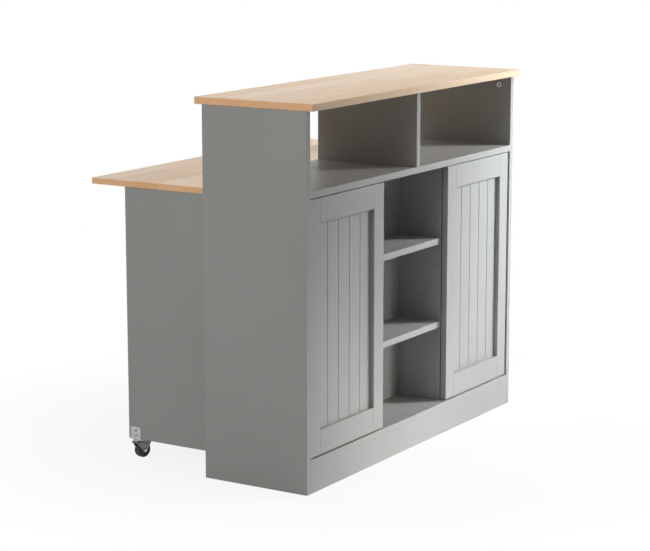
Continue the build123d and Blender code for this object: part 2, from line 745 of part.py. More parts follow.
def build_fork(name, x, y, with_brake):
    """The swivelling fork with its race, and the axle that the wheel turns on."""
    inner_half = wheel_width / 2 + wheel_side_gap
    outer_half = inner_half + caster_sheet
    race_top = leaf_underside_z - caster_cup_height - caster_running_gap
    disc_top = race_top - caster_race_height
    # the wheel is built trailing towards the cabinet, against Y
    arm_plane = Plane(origin=(x - outer_half, y, 0), x_dir=(0, -1, 0), z_dir=(-1, 0, 0))
    outline = fork_outline(with_brake)
    arm_solid = extrude(arm_plane * outline, -caster_sheet)
    fork = arm_solid + Pos(outer_half + inner_half, 0, 0) * arm_solid
    rear_reach = brake_pivot_trail if with_brake else caster_trail + fork_axle_boss_radius
    fork += block(x - outer_half, x + outer_half, y - rear_reach, y + fork_front_reach,
                  disc_top - caster_sheet, disc_top)
    fork += rod((x, y, disc_top - caster_sheet), (0, 0, 1), outer_half, caster_sheet)
    fork += rod((x, y, disc_top), (0, 0, 1), caster_race_radius, caster_race_height)
    up = (0, 0, 1)
    fork -= rod((x, y, 0), up, caster_pin_radius + caster_pin_fit, table_leg_ground_gap)
    axle_y = y - caster_trail
    across = (1, 0, 0)
    wide = outer_half + overrun
    fork -= rod((x - wide, axle_y, wheel_radius), across, axle_radius + fitting_clearance, 2 * wide)
    if with_brake:
        pivot = (x - wide, y - brake_pivot_trail, brake_pivot_height)
        fork -= rod(pivot, across, brake_pin_radius + brake_pin_fit, 2 * wide)
    axle = rod((x - outer_half, axle_y, wheel_radius), across, axle_radius, 2 * outer_half)
    head_left = rod((x - outer_half, axle_y, wheel_radius), (-1, 0, 0), axle_head_radius, axle_head_height)
    head_right = rod((x + outer_half, axle_y, wheel_radius), across, axle_head_radius, axle_head_height)
    boards[name + "_caster_fork"] = fork
    boards[name + "_caster_axle"] = axle + head_left + head_right


def build_wheel(name, x, y):
    """A moulded wheel with a rounded tread, a dished face on each side and a bore."""
    axle_y = y - caster_trail
    across = (1, 0, 0)
    half = wheel_width / 2
    wheel = rod((x - half, axle_y, wheel_radius), across, wheel_radius, wheel_width)
    wheel = fillet(wheel.edges().filter_by(GeomType.CIRCLE), wheel_ease)
    for side in (-1, 1):
        face = (x + side * half, axle_y, wheel_radius)
        ring = rod(along(face, (side, 0, 0), overrun), (-side, 0, 0), wheel_dish_radius,
                   wheel_dish_depth + overrun)
        hub = rod(along(face, (side, 0, 0), overrun), (-side, 0, 0), fork_axle_boss_radius,
                  wheel_dish_depth + overrun)
        wheel -= ring - hub
    wheel -= rod((x - half - overrun, axle_y, wheel_radius), across, axle_radius + wheel_bore_fit,
                 wheel_width + 2 * overrun)
    boards[name + "_caster_wheel"] = wheel


def build_brake(name, x, y):
    """A pedal on a pin at the fork's rear, with a nose that meets the tread when pressed."""
    pivot_y = y - brake_pivot_trail
    across = (1, 0, 0)
    half = brake_width / 2
    outer_half = wheel_width / 2 + wheel_side_gap + caster_sheet
    pivot_plane = Plane(origin=(x - half, pivot_y, brake_pivot_height), x_dir=(0, -1, 0), z_dir=(-1, 0, 0))
    tip = (brake_reach, brake_rise)
    lever = Polyline((0, 0), (brake_reach / 2, brake_rise / 3), tip)
    lever_face = make_face(offset(lever, brake_thickness / 2, kind=Kind.ARC).edges())
    nose = Pos(brake_nose_offset, -brake_nose_drop / 2) * Rectangle(brake_nose_thickness, brake_nose_drop)
    profile = lever_face + Circle(brake_hub_radius) + nose
    pedal = extrude(pivot_plane * profile, -brake_width)
    tab_start = (x - brake_tab_width / 2, pivot_y - brake_reach, brake_pivot_height + brake_rise)
    tab_plane = Plane(origin=tab_start, x_dir=(0, -1, 0), z_dir=(-1, 0, 0))
    tab = extrude(tab_plane * Pos(brake_tab_length / 2, 0) * Rectangle(brake_tab_length, brake_thickness),
                  -brake_tab_width)
    pin = rod((x - outer_half, pivot_y, brake_pivot_height), across, brake_pin_radius, 2 * outer_half)
    boards[name + "_brake_pedal"] = pedal + tab + pin


def build_casters():
    """Four casters: the two outer ones have brakes and stand turned, with the wheels under the table."""
    for name, side, x, y in caster_places():
        with_brake = name.startswith("outer")
        build_caster_plate(side, x, y)
        build_fork(name, x, y, with_brake)
        build_wheel(name, x, y)
        if with_brake:
            build_brake(name, x, y)
            turn = Pos(x, y, 0) * Rot(0, 0, -side * outer_caster_turn) * Pos(-x, -y, 0)
            for piece in ("caster_fork", "caster_axle", "caster_wheel", "brake_pedal"):
                boards[f"{name}_{piece}"] = turn * boards[f"{name}_{piece}"]


def export_all():
    """Writes one file for each node."""
    os.makedirs("parts", exist_ok=True)
    for name, shape in boards.items():
        export_step(shape, f"parts/{name}.step")
    for name, solids in groups.items():
        export_step(Compound(label=name, children=solids), f"parts/{name}.step")


build_carcass()
build_shelves()
fit_shelf_pins()
fit_cams()
fit_dowels()
fit_back_screws()
for door_side in (-1, 1):
    build_door(door_side)
    build_hinge_arms(door_side)
build_bumpers()
build_table()
build_guides()
build_casters()
export_all()
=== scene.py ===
# %% [markdown]
# # A kitchen island with a roll-out table
#
# The island is a tall painted cabinet with a glued wooden counter, two panelled doors, open shelves,
# and a lower wooden table that rolls out of its back on four casters. The construction is already
# there as a fixed frame: every board, hinge and caster has its place. This lesson gives each of them
# its finish, and makes the small fittings that a plain solid can't show.

# %% Load the frame
import json
import math

import bmesh
import bpy
from mathutils import Matrix, Vector

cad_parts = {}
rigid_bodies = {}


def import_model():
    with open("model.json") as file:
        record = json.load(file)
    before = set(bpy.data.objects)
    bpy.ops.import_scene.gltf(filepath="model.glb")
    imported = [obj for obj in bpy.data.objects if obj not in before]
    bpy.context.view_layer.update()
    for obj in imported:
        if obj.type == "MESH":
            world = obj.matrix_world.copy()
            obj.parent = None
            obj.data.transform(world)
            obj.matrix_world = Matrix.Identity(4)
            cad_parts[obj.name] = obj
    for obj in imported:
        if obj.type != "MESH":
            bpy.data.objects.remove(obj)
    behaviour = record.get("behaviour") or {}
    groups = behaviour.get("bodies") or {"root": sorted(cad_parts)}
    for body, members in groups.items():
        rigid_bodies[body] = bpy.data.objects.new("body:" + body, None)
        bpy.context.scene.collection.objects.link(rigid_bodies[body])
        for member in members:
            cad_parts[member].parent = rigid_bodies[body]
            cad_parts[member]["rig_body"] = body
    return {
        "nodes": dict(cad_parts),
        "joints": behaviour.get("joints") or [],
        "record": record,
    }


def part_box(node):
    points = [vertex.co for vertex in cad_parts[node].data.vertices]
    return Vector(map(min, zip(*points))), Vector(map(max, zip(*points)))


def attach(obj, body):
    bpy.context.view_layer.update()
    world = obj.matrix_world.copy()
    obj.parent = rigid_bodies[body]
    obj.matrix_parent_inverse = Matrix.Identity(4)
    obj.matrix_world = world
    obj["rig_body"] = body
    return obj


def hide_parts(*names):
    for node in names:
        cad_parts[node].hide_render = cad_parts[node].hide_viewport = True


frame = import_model()
nodes = frame["nodes"]
slot_of = {row["node"]: row["material_slot"] for row in frame["record"]["subparts"]}
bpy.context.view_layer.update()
MM = 0.001

# %% [markdown]
# ## Where the viewer stands
#
# A camera could be aimed by hand, but here its place was worked out from the cabinet's straight edges
# in the picture: the length of the lens, the distance and the height of the eye all follow from how
# fast the edges draw together. The sensor is 36 mm wide, so the lens length is given for that.

# %% Camera
EYE = Vector((-4.9105, -3.0960, 1.5619))
TURN_FROM_X = math.radians(31.794)
LOOK_DOWN = math.radians(10.824)
LENS = 114.1
SENSOR_WIDTH = 36.0

camera_data = bpy.data.cameras.new("eye")
camera_data.lens = LENS
camera_data.sensor_fit = "HORIZONTAL"
camera_data.sensor_width = SENSOR_WIDTH
camera = bpy.data.objects.new("eye", camera_data)
camera.location = EYE
look = Vector((
    math.cos(TURN_FROM_X) * math.cos(LOOK_DOWN),
    math.sin(TURN_FROM_X) * math.cos(LOOK_DOWN),
    -math.sin(LOOK_DOWN),
))
camera.rotation_euler = look.to_track_quat("-Z", "Y").to_euler()
bpy.context.scene.collection.objects.link(camera)
bpy.context.scene.camera = camera
bpy.context.scene.view_settings.view_transform = "Standard"

# %% [markdown]
# ## Small helpers for node trees
#
# Shader and geometry trees are both lists of nodes joined by wires. A few short helpers keep the rest of
# the lesson readable. The first adds a node and fills or wires its inputs, and the others each stand
# for one kind of step: a sum, a noise, a mix of two colours, a bent normal.


# %% Node helpers
CLOUD_RANGE = (0.3, 0.7)

# The mix has sockets of the same name for each kind of value, so those for colours go by number
COLOUR_SOCKETS = (6, 7)
COLOUR_RESULT = 2


def put(tree, kind, inputs=None, **settings):
    """Adds a node. An input takes a value, or a wire from another node's output."""
    node = tree.nodes.new(kind)
    for key, value in settings.items():
        setattr(node, key, value)
    for key, value in (inputs or {}).items():
        if isinstance(value, bpy.types.NodeSocket):
            tree.links.new(value, node.inputs[key])
        else:
            node.inputs[key].default_value = value
    return node


def calc(tree, operation, first, second=0.0, third=0.0):
    """One step of arithmetic in a shader tree."""
    return put(tree, "ShaderNodeMath", {0: first, 1: second, 2: third}, operation=operation).outputs[0]


def noise(tree, place, scale, detail=2.0, roughness=0.5):
    """Soft random values between 0 and 1."""
    inputs = {"Vector": place, "Scale": scale, "Detail": detail, "Roughness": roughness}
    return put(tree, "ShaderNodeTexNoise", inputs).outputs[0]


def spread(tree, value, low, high, out_low, out_high):
    """Stretches values from one range to another and stops at its ends."""
    inputs = {0: value, 1: low, 2: high, 3: out_low, 4: out_high}
    return put(tree, "ShaderNodeMapRange", inputs).outputs[0]


def clouds(tree, place, scale, detail=2.0, low=0.0, high=1.0):
    """Soft random values, stretched so that they fill the range from low to high."""
    return spread(tree, noise(tree, place, scale, detail), *CLOUD_RANGE, low, high)


def between(tree, factor, first, second, blend="MIX"):
    """Mixes two colours."""
    node = put(tree, "ShaderNodeMix", {0: factor}, data_type="RGBA", blend_type=blend)
    for number, value in zip(COLOUR_SOCKETS, (first, second)):
        if isinstance(value, bpy.types.NodeSocket):
            tree.links.new(value, node.inputs[number])
        else:
            node.inputs[number].default_value = (*value, 1.0)
    return node.outputs[COLOUR_RESULT]


def shader(name, **constants):
    """A material with one Principled shader. Constants such as Metallic are set on its own sockets."""
    material = bpy.data.materials.new(name)
    material.use_nodes = True
    tree = material.node_tree
    tree.nodes.clear()
    surface = put(tree, "ShaderNodeBsdfPrincipled")
    put(tree, "ShaderNodeOutputMaterial", {"Surface": surface.outputs[0]})
    for key, value in constants.items():
        surface.inputs[key.replace("_", " ")].default_value = value
    return material, tree, surface


def wire(tree, surface, **sources):
    """Joins outputs to the Principled shader's inputs."""
    for key, source in sources.items():
        tree.links.new(source, surface.inputs[key.replace("_", " ")])


def bump(tree, height, strength, distance):
    """Turns a height into a bent normal."""
    inputs = {"Height": height, "Strength": strength, "Distance": distance}
    return put(tree, "ShaderNodeBump", inputs).outputs[0]


def from_srgb(red, green, blue):
    """A colour as a picture shows it, from 0 to 255, as the linear values that a shader takes."""
    shares = [v / 255 for v in (red, green, blue)]
    return tuple(v / 12.92 if v <= 0.04045 else ((v + 0.055) / 1.055) ** 2.4 for v in shares)


# %% [markdown]
# ## Sprayed grey paint
#
# The boards are fibreboard with a sprayed satin paint. Up close it isn't perfectly flat: the sprayed
# film dries with a fine orange-peel texture, its gloss drifts a little from place to place, and the
# colour changes by a few percent where the coat is thinner. A picture of paint would repeat, so layers
# of noise, each at its own size, make it instead.

# %% Paint
PAINT_THIN = from_srgb(149, 149, 146)
PAINT_THICK = from_srgb(155, 155, 152)
PEEL_PER_METRE = 620
PEEL_STRENGTH = 0.12
PEEL_DEPTH = 0.12 * MM
SPECK_PER_METRE = 2 * PEEL_PER_METRE
SPECK_RANGE = (0.72, 0.8)
SPECK_SHARE = 0.25
DRIFT_PER_METRE = 2.2
GLOSS_PER_METRE = 9 * DRIFT_PER_METRE
PAINT_ROUGHNESS = (0.36, 0.46)


def grey_paint():
    """The satin paint of every board."""
    material, tree, surface = shader("satin_grey_paint", IOR=1.5)
    place = put(tree, "ShaderNodeTexCoord").outputs["Object"]
    drift = clouds(tree, place, DRIFT_PER_METRE)
    speck = spread(tree, noise(tree, place, SPECK_PER_METRE), *SPECK_RANGE, 0.0, SPECK_SHARE)
    colour = between(tree, drift, PAINT_THIN, PAINT_THICK)
    colour = between(tree, speck, colour, PAINT_THIN, "MULTIPLY")
    gloss = clouds(tree, place, GLOSS_PER_METRE, 4, *PAINT_ROUGHNESS)
    peel = noise(tree, place, PEEL_PER_METRE, 1)
    wire(tree, surface, Base_Color=colour, Roughness=gloss,
         Normal=bump(tree, peel, PEEL_STRENGTH, PEEL_DEPTH))
    return material


paint = grey_paint()
print("paint made:", paint.name)

# %% [markdown]
# ## Glued wooden staves
#
# The counter and the table's top are butcher block: long staves glued side by side, each made of
# shorter lengths that meet in finger joints. The tree divides the board's length and width into
# numbered staves and gives every one its own tone and grain offset. On the two short ends the
# saw has cut across the fibres, so a second pattern of growth rings takes over there, chosen by the
# way the face points. The two long edges are painted a little paler, as a painted sheen.

# %% Wood
STAVE_LENGTH = 0.46
FINGER_PITCH = 8.0 * MM
FINGER_LENGTH = 9.0 * MM
GLUE_LINE = 0.5 * MM
GLUE_SHARE = 0.5
WOOD_TONES = [
    from_srgb(214, 182, 144),
    from_srgb(230, 208, 178),
    from_srgb(220, 184, 142),
    from_srgb(236, 216, 190),
    from_srgb(226, 192, 154),
]
WOOD_LINE = from_srgb(188, 146, 106)
WOOD_GLUE = from_srgb(150, 112, 78)
END_LIGHT = from_srgb(255, 216, 176)
END_DARK = from_srgb(238, 188, 142)
# A paler tone painted on the two long edges as a painted sheen, and how much of it they take
EDGE_SHEEN_TONE = from_srgb(252, 228, 196)
EDGE_SHEEN_SHARE = 0.4
END_TONE_SHARE = 0.45
FACING_RANGE = (0.6, 0.8)
WOOD_ROUGHNESS = (0.44, 0.56)
GRAIN_STRENGTH = 0.1
GRAIN_DEPTH = 0.2 * MM

# Changes per metre along, across and up the board
FINE_GRAIN = (5.0, 190.0, 190.0)
BROAD_FIGURE = (1.1, 26.0, 26.0)
PORE_GRAIN = (90.0, 1500.0, 1500.0)
STAVES_APART = 40.0
FINE_RANGE = (0.35, 0.75)
FINE_SHARE = 0.42
FIGURE_RANGE = (0.2, 1.0)
FIGURE_SHARE = 0.16
PORE_RANGE = (0.64, 0.72)
PORE_SHARE = 0.35

# The heart of the tree lies under each stave, and its rings grow round it
HEART_DEPTH = 12.0 * MM
HEART_RANGE = 50.0 * MM
HEART_ASIDE_SHARE = 0.25
RING_TURNS = 2400.0
RING_SHARE = 0.25
SPECKLE_PER_METRE = 1500.0
CUT_RANGE = (0.1, 0.9)


def step_number(tree, value, size):
    """The whole number of steps of a size that fit below a value."""
    return calc(tree, "FLOOR", calc(tree, "DIVIDE", value, size))


def stretched(tree, place, per_metre, apart):
    """A place scaled for one kind of grain, and moved so that no two staves share a stretch of it."""
    inputs = {0: place, 1: per_metre, 2: apart}
    return put(tree, "ShaderNodeVectorMath", inputs, operation="MULTIPLY_ADD").outputs[0]


def turned_along(tree, normal, most=1.0):
    """How much a face is turned along an axis, from that part of its normal."""
    return spread(tree, calc(tree, "ABSOLUTE", normal), *FACING_RANGE, 0.0, most)


def stave_tone(tree, chance):
    """One of the wood's tones for each stave."""
    tones = put(tree, "ShaderNodeValToRGB", {0: chance})
    ramp = tones.color_ramp
    while len(ramp.elements) < len(WOOD_TONES):
        ramp.elements.new(0.5)
    for i, tone in enumerate(WOOD_TONES):
        ramp.elements[i].position = i / (len(WOOD_TONES) - 1)
        ramp.elements[i].color = (*tone, 1.0)
    return tones.outputs[0]


def long_grain(tree, place, apart, tone):
    """Fibres, broad figure and pores along the stave: their colour, the fibres and the pores."""
    fine = noise(tree, stretched(tree, place, FINE_GRAIN, apart), 1.0, 5, 0.6)
    wave = {"Vector": stretched(tree, place, BROAD_FIGURE, apart), "Scale": 0.55, "Distortion": 5.0,
            "Detail": 2.0, "Detail Scale": 0.8}
    figure = put(tree, "ShaderNodeTexWave", wave, bands_direction="Y").outputs[1]
    pore = noise(tree, stretched(tree, place, PORE_GRAIN, apart), 1.0, 1)
    pores = spread(tree, pore, *PORE_RANGE, 0.0, PORE_SHARE)
    colour = between(tree, spread(tree, fine, *FINE_RANGE, 0.0, FINE_SHARE), tone, WOOD_LINE)
    colour = between(tree, spread(tree, figure, *FIGURE_RANGE, 0.0, FIGURE_SHARE), colour, WOOD_LINE)
    return between(tree, pores, colour, WOOD_LINE), fine, pores


def end_grain(tree, place, aside, up, chance, tone):
    """Growth rings and open fibres, as the saw leaves them on the two short ends."""
    depth = calc(tree, "ADD", up, calc(tree, "MULTIPLY_ADD", chance, HEART_RANGE, HEART_DEPTH))
    squares = [calc(tree, "POWER", v, 2.0) for v in (aside, depth)]
    radius = calc(tree, "SQRT", calc(tree, "ADD", *squares))
    years = calc(tree, "SINE", calc(tree, "MULTIPLY", radius, RING_TURNS))
    speckle = noise(tree, place, SPECKLE_PER_METRE, 2)
    cut = calc(tree, "ADD", calc(tree, "MULTIPLY", years, RING_SHARE), speckle)
    end_tone = between(tree, spread(tree, cut, *CUT_RANGE, 0.0, 1.0), END_DARK, END_LIGHT)
    return between(tree, END_TONE_SHARE, end_tone, tone, "MULTIPLY")


def butcher_block(name, node, stave_count, seed):
    """The glued staves of one wooden top, counted across its own width."""
    low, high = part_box(node)
    stave = (high.y - low.y) / stave_count
    material, tree, surface = shader(name, IOR=1.5, Coat_Weight=0.3, Coat_Roughness=0.3)
    coords = put(tree, "ShaderNodeTexCoord")
    shift = {"Vector": coords.outputs["Object"], "Location": tuple(-low)}
    place = put(tree, "ShaderNodeMapping", shift).outputs[0]
    along, across, up = put(tree, "ShaderNodeSeparateXYZ", {0: place}).outputs

    row = step_number(tree, across, stave)
    start = put(tree, "ShaderNodeTexWhiteNoise", {"W": calc(tree, "ADD", row, seed)},
                noise_dimensions="1D").outputs[0]
    fingers = calc(tree, "PINGPONG", across, FINGER_PITCH / 2)
    fingers = calc(tree, "MULTIPLY", fingers, 2 * FINGER_LENGTH / FINGER_PITCH)
    shifted = calc(tree, "ADD", calc(tree, "MULTIPLY_ADD", start, STAVE_LENGTH, along), fingers)
    column = step_number(tree, shifted, STAVE_LENGTH)
    number = put(tree, "ShaderNodeCombineXYZ", {0: row, 1: column, 2: float(seed)}).outputs[0]
    lot = put(tree, "ShaderNodeTexWhiteNoise", {"Vector": number}, noise_dimensions="3D")
    apart = put(tree, "ShaderNodeVectorMath", {0: lot.outputs[1], "Scale": STAVES_APART},
                operation="SCALE").outputs[0]
    tone = stave_tone(tree, lot.outputs[0])
    colour, fine, pores = long_grain(tree, place, apart, tone)

    edge = calc(tree, "PINGPONG", across, stave / 2)
    side_glue = calc(tree, "LESS_THAN", edge, GLUE_LINE)
    end_glue = calc(tree, "LESS_THAN", calc(tree, "PINGPONG", shifted, STAVE_LENGTH / 2), GLUE_LINE)
    glue = calc(tree, "MULTIPLY", calc(tree, "MAXIMUM", side_glue, end_glue), GLUE_SHARE)
    colour = between(tree, glue, colour, WOOD_GLUE)

    aside = calc(tree, "SUBTRACT", edge, calc(tree, "MULTIPLY", stave, HEART_ASIDE_SHARE))
    end_tone = end_grain(tree, place, aside, up, start, tone)
    facing = put(tree, "ShaderNodeSeparateXYZ", {0: coords.outputs["Normal"]}).outputs
    # The long edges, which face front and back, get the paler tone: a painted sheen
    colour = between(tree, turned_along(tree, facing[1], EDGE_SHEEN_SHARE), colour, EDGE_SHEEN_TONE)
    colour = between(tree, turned_along(tree, facing[0]), colour, end_tone)

    gloss = spread(tree, fine, *CLOUD_RANGE, *WOOD_ROUGHNESS)
    height = calc(tree, "SUBTRACT", fine, calc(tree, "MAXIMUM", pores, glue))
    wire(tree, surface, Base_Color=colour, Roughness=gloss,
         Normal=bump(tree, height, GRAIN_STRENGTH, GRAIN_DEPTH))
    print(name, "has", stave_count, "staves", round(stave / MM, 1), "mm wide")
    return material


counter_wood = butcher_block("counter_wood", "bar_top", 5, 3)
table_wood = butcher_block("table_wood", "table_worktop", 6, 11)

# %% [markdown]
# ## Metals
#
# The fittings are stamped or turned steel. The cams, hinges and shelf pins have a bright nickel plate,
# the casters and screws a duller zinc plate. The forks take a darker grey, and a dark metal down in the
# wells of the cams is painted shade. All are metals in the shader, and what sets them apart is the tone,
# how blurred the reflections are, and the fine scratches that handling leaves.

# %% Plated metals
TARNISH_PER_METRE = 160
SCRATCHES_PER_METRE = (300.0, 4000.0, 900.0)
SCRATCH_DEPTH = 0.03 * MM
WEAR_RANGE = (0.25, 0.75)


def plated(name, dull, bright, rough_low, rough_high, scratch):
    """A plated metal between two tones and two degrees of roughness."""
    material, tree, surface = shader(name, Metallic=1.0)
    place = put(tree, "ShaderNodeTexCoord").outputs["Object"]
    cloud = clouds(tree, place, TARNISH_PER_METRE, 3)
    colour = between(tree, cloud, dull, bright)
    drawn = put(tree, "ShaderNodeMapping", {"Vector": place, "Scale": SCRATCHES_PER_METRE}).outputs[0]
    lines = noise(tree, drawn, 1.0, 2)
    wear = calc(tree, "ADD", calc(tree, "MULTIPLY", lines, 0.5), calc(tree, "MULTIPLY", cloud, 0.5))
    rough = spread(tree, wear, *WEAR_RANGE, rough_low, rough_high)
    wire(tree, surface, Base_Color=colour, Roughness=rough,
         Normal=bump(tree, lines, scratch, SCRATCH_DEPTH))
    return material


nickel = plated("nickel_plate", from_srgb(186, 184, 180), from_srgb(212, 210, 206), 0.16, 0.3, 0.25)
zinc = plated("zinc_plate", from_srgb(160, 162, 161), from_srgb(188, 189, 185), 0.26, 0.44, 0.4)
# A dark metal for the disc in each cam's well: painted shade
painted_well_shade = plated("painted_well_shade", from_srgb(48, 46, 42), from_srgb(70, 68, 62), 0.5, 0.7, 0.5)
dark_zinc = plated("stamped_fork_steel", from_srgb(94, 95, 92), from_srgb(126, 127, 123), 0.3, 0.5, 0.5)
print("metals made:", [metal.name for metal in (nickel, zinc, painted_well_shade, dark_zinc)])

# %% [markdown]
# ## Rubber, plastic and raw wood
#
# The wheels have a black rubber tread on a dark moulded hub, the brake pedals are moulded plastic with
# a fine spark texture, the bumpers are clear soft pads, and the dowels are raw beech. Dark materials
# need variation in gloss more than in colour, because that is all the eye gets from them.

# %% Moulded materials
GRAINS_PER_CLOUD = 20
MOULD_STRENGTH = 0.3
MOULD_DEPTH = 0.06 * MM


def moulded(name, dark, light, grain_per_metre, rough_low, rough_high, **constants):
    """Rubber, plastic or raw wood between two tones and two degrees of roughness."""
    material, tree, surface = shader(name, **constants)
    place = put(tree, "ShaderNodeTexCoord").outputs["Object"]
    cloud = clouds(tree, place, grain_per_metre / GRAINS_PER_CLOUD, 3)
    grain = noise(tree, place, grain_per_metre, 2)
    rough = spread(tree, cloud, 0.0, 1.0, rough_low, rough_high)
    colour = between(tree, cloud, dark, light)
    wire(tree, surface, Base_Color=colour, Roughness=rough,
         Normal=bump(tree, grain, MOULD_STRENGTH, MOULD_DEPTH))
    return material


rubber = moulded("black_rubber", (0.010, 0.010, 0.011), (0.020, 0.020, 0.021), 2200, 0.5, 0.68)
hub_plastic = moulded("dark_hub_plastic", (0.028, 0.028, 0.029), (0.040, 0.040, 0.041), 3000,
                      0.36, 0.5)
pedal_plastic = moulded("black_pedal_plastic", (0.012, 0.012, 0.012), (0.018, 0.018, 0.018), 3600,
                        0.38, 0.5)
soft_pad = moulded("clear_soft_pad", (0.72, 0.72, 0.70), (0.80, 0.80, 0.78), 900, 0.3, 0.4,
                   Transmission_Weight=0.5, IOR=1.45)
beech = moulded("raw_beech", from_srgb(206, 166, 124), from_srgb(222, 186, 144), 1500, 0.6, 0.75)
print("moulded and raw:", [stuff.name for stuff in (rubber, hub_plastic, pedal_plastic, soft_pad, beech)])

# %% [markdown]
# ## Give each solid its finish
#
# Every board and fitting of the frame names a finish. One table turns those names into the materials
# above. The two wooden tops take their own, because each starts its staves at its own edge.

# %% Assign the finishes
FINISHES = {
    "painted_board": paint,
    "nickel_plate": nickel,
    "zinc_plate": zinc,
    "wheel_rubber": rubber,
    "black_plastic": pedal_plastic,
    "beech_dowel": beech,
    "clear_bumper": soft_pad,
}
OWN_FINISH = {"bar_top": counter_wood, "table_worktop": table_wood}

for name, solid in nodes.items():
    solid.data.materials.clear()
    solid.data.materials.append(OWN_FINISH.get(name) or FINISHES[slot_of[name]])
print("finishes given to", len(nodes), "solids")

# %% [markdown]
# ## Reading places from the frame
#
# A row of screws is one node of the frame with many separate solids. To put a better screw in each
# place, the lesson first has to find the places. The mesh is copied, its loose triangles are joined at
# their shared corners, and then every island of joined corners is one screw. Its longest side gives its
# axis, and the wider end is its head. A cam is shorter than it is wide and has the same width at both
# ends, but one of them is flush with a board, and that is the face that a screwdriver reaches.


# %% Find separate solids
JOIN_DISTANCE = 0.01 * MM
HEAD_SHARE = 1 / 8


def joined_copy(node):
    """A copy of a node's mesh with its loose triangles joined."""
    shape = bmesh.new()
    shape.from_mesh(nodes[node].data)
    bmesh.ops.remove_doubles(shape, verts=shape.verts, dist=JOIN_DISTANCE)
    return shape


def solids_in(node):
    """The corner points of each separate solid in a node."""
    shape = joined_copy(node)
    left = set(shape.verts)
    found = []
    while left:
        group = [left.pop()]
        for corner in group:
            for line in corner.link_edges:
                other = line.other_vert(corner)
                if other in left:
                    left.remove(other)
                    group.append(other)
        found.append([v.co.copy() for v in group])
    shape.free()
    return sorted(found, key=lambda points: tuple(round(c, 4) for c in min(points, key=tuple)))


def extent(points):
    """The lowest and highest corner of some points."""
    low = Vector(min(p[i] for p in points) for i in range(3))
    high = Vector(max(p[i] for p in points) for i in range(3))
    return low, high


def end_of(points, axis, upward):
    """The middle of a turned piece's upper or lower end, and the way that this end faces."""
    low, high = extent(points)
    head = (low + high) / 2
    head[axis] = high[axis] if upward else low[axis]
    facing = Vector((0, 0, 0))
    facing[axis] = 1.0 if upward else -1.0
    return head, facing


def head_of_screw(points):
    """A screw lies along its longest side, and its head is the wider end."""
    low, high = extent(points)
    size = high - low
    axis = max(range(3), key=lambda i: size[i])
    middle = (low + high) / 2

    sides = [i for i in range(3) if i != axis]

    def width(group):
        """How far a group's widest corner is from the screw's own axis."""
        return max(math.dist([p[i] for i in sides], [middle[i] for i in sides]) for p in group)

    near = size[axis] * HEAD_SHARE
    low_end = [p for p in points if p[axis] - low[axis] < near]
    high_end = [p for p in points if high[axis] - p[axis] < near]
    return end_of(points, axis, width(high_end) > width(low_end))


def face_of_cam(points):
    """A cam lies along its shortest side, and its face is flush with the board that holds it."""
    low, high = extent(points)
    size = high - low
    axis = min(range(3), key=lambda i: size[i])
    middle = (low + high) / 2
    gaps = []
    for name, slot in slot_of.items():
        if slot != "painted_board":
            continue
        board_low, board_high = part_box(name)
        if all(board_low[i] < middle[i] < board_high[i] for i in range(3)):
            gaps.append((abs(board_high[axis] - high[axis]), True))
            gaps.append((abs(low[axis] - board_low[axis]), False))
    return end_of(points, axis, min(gaps)[1])


screw_places = {name: [head_of_screw(p) for p in solids_in(name)]
                for name in ("caster_screws", "mounting_screws", "back_panel_screws")}
cam_places = {name: [face_of_cam(p) for p in solids_in(name)]
              for name in ("cam_locks", "table_cam_locks")}
print({name: len(found) for name, found in {**screw_places, **cam_places}.items()})

# %% [markdown]
# ## Turned shapes
#
# Screws, cams, pins and wheels are all turned shapes, so one function makes them: it takes an outline
# of radius and height and sweeps it round the Z axis. Points on the axis become one corner, so that
# the end is closed without a seam.


# %% Turn an outline
TURNED_SIDES = 24
SHARP_ANGLE = math.radians(32)


def turned(name, outline, sides=TURNED_SIDES):
    """A solid of revolution about Z from (radius, height) points, from the bottom to the top."""
    shape = bmesh.new()
    rings = []
    for radius, height in outline:
        if radius <= 0:
            rings.append([shape.verts.new((0, 0, height))])
            continue
        angles = [2 * math.pi * i / sides for i in range(sides)]
        rings.append([shape.verts.new((radius * math.cos(a), radius * math.sin(a), height))
                      for a in angles])
    closed = outline[0][0] > 0
    pairs = list(zip(rings, rings[1:])) + ([(rings[-1], rings[0])] if closed else [])
    for lower, upper in pairs:
        for i in range(sides):
            j = (i + 1) % sides
            corners = [lower[i % len(lower)], lower[j % len(lower)],
                       upper[j % len(upper)], upper[i % len(upper)]]
            shape.faces.new(list(dict.fromkeys(corners)))
    bmesh.ops.recalc_face_normals(shape, faces=shape.faces)
    mesh = bpy.data.meshes.new(name)
    shape.to_mesh(mesh)
    shape.free()
    piece = bpy.data.objects.new(name, mesh)
    bpy.context.scene.collection.objects.link(piece)
    return piece


def finish_mesh(piece, material):
    """Smooth shading that breaks at real edges, and the piece's material."""
    piece.data.shade_smooth()
    piece.data.set_sharp_from_angle(angle=SHARP_ANGLE)
    piece.data.materials.clear()
    piece.data.materials.append(material)
    return piece


def frozen(piece, name):
    """The piece with its modifiers worked into a plain mesh, under a new name."""
    bpy.context.view_layer.update()
    seen = piece.evaluated_get(bpy.context.evaluated_depsgraph_get())
    mesh = bpy.data.meshes.new_from_object(seen)
    old = piece.data
    bpy.data.objects.remove(piece)
    bpy.data.meshes.remove(old)
    mesh.name = name
    result = bpy.data.objects.new(name, mesh)
    bpy.context.scene.collection.objects.link(result)
    return result


def cut_away(piece, cutters, name):
    """Cuts other pieces out of one."""
    for cutter in cutters:
        cut = piece.modifiers.new("cut", "BOOLEAN")
        cut.object = cutter
        cut.operation = "DIFFERENCE"
        cut.solver = "EXACT"
    result = frozen(piece, name)
    for cutter in cutters:
        bpy.data.objects.remove(cutter)
    return result


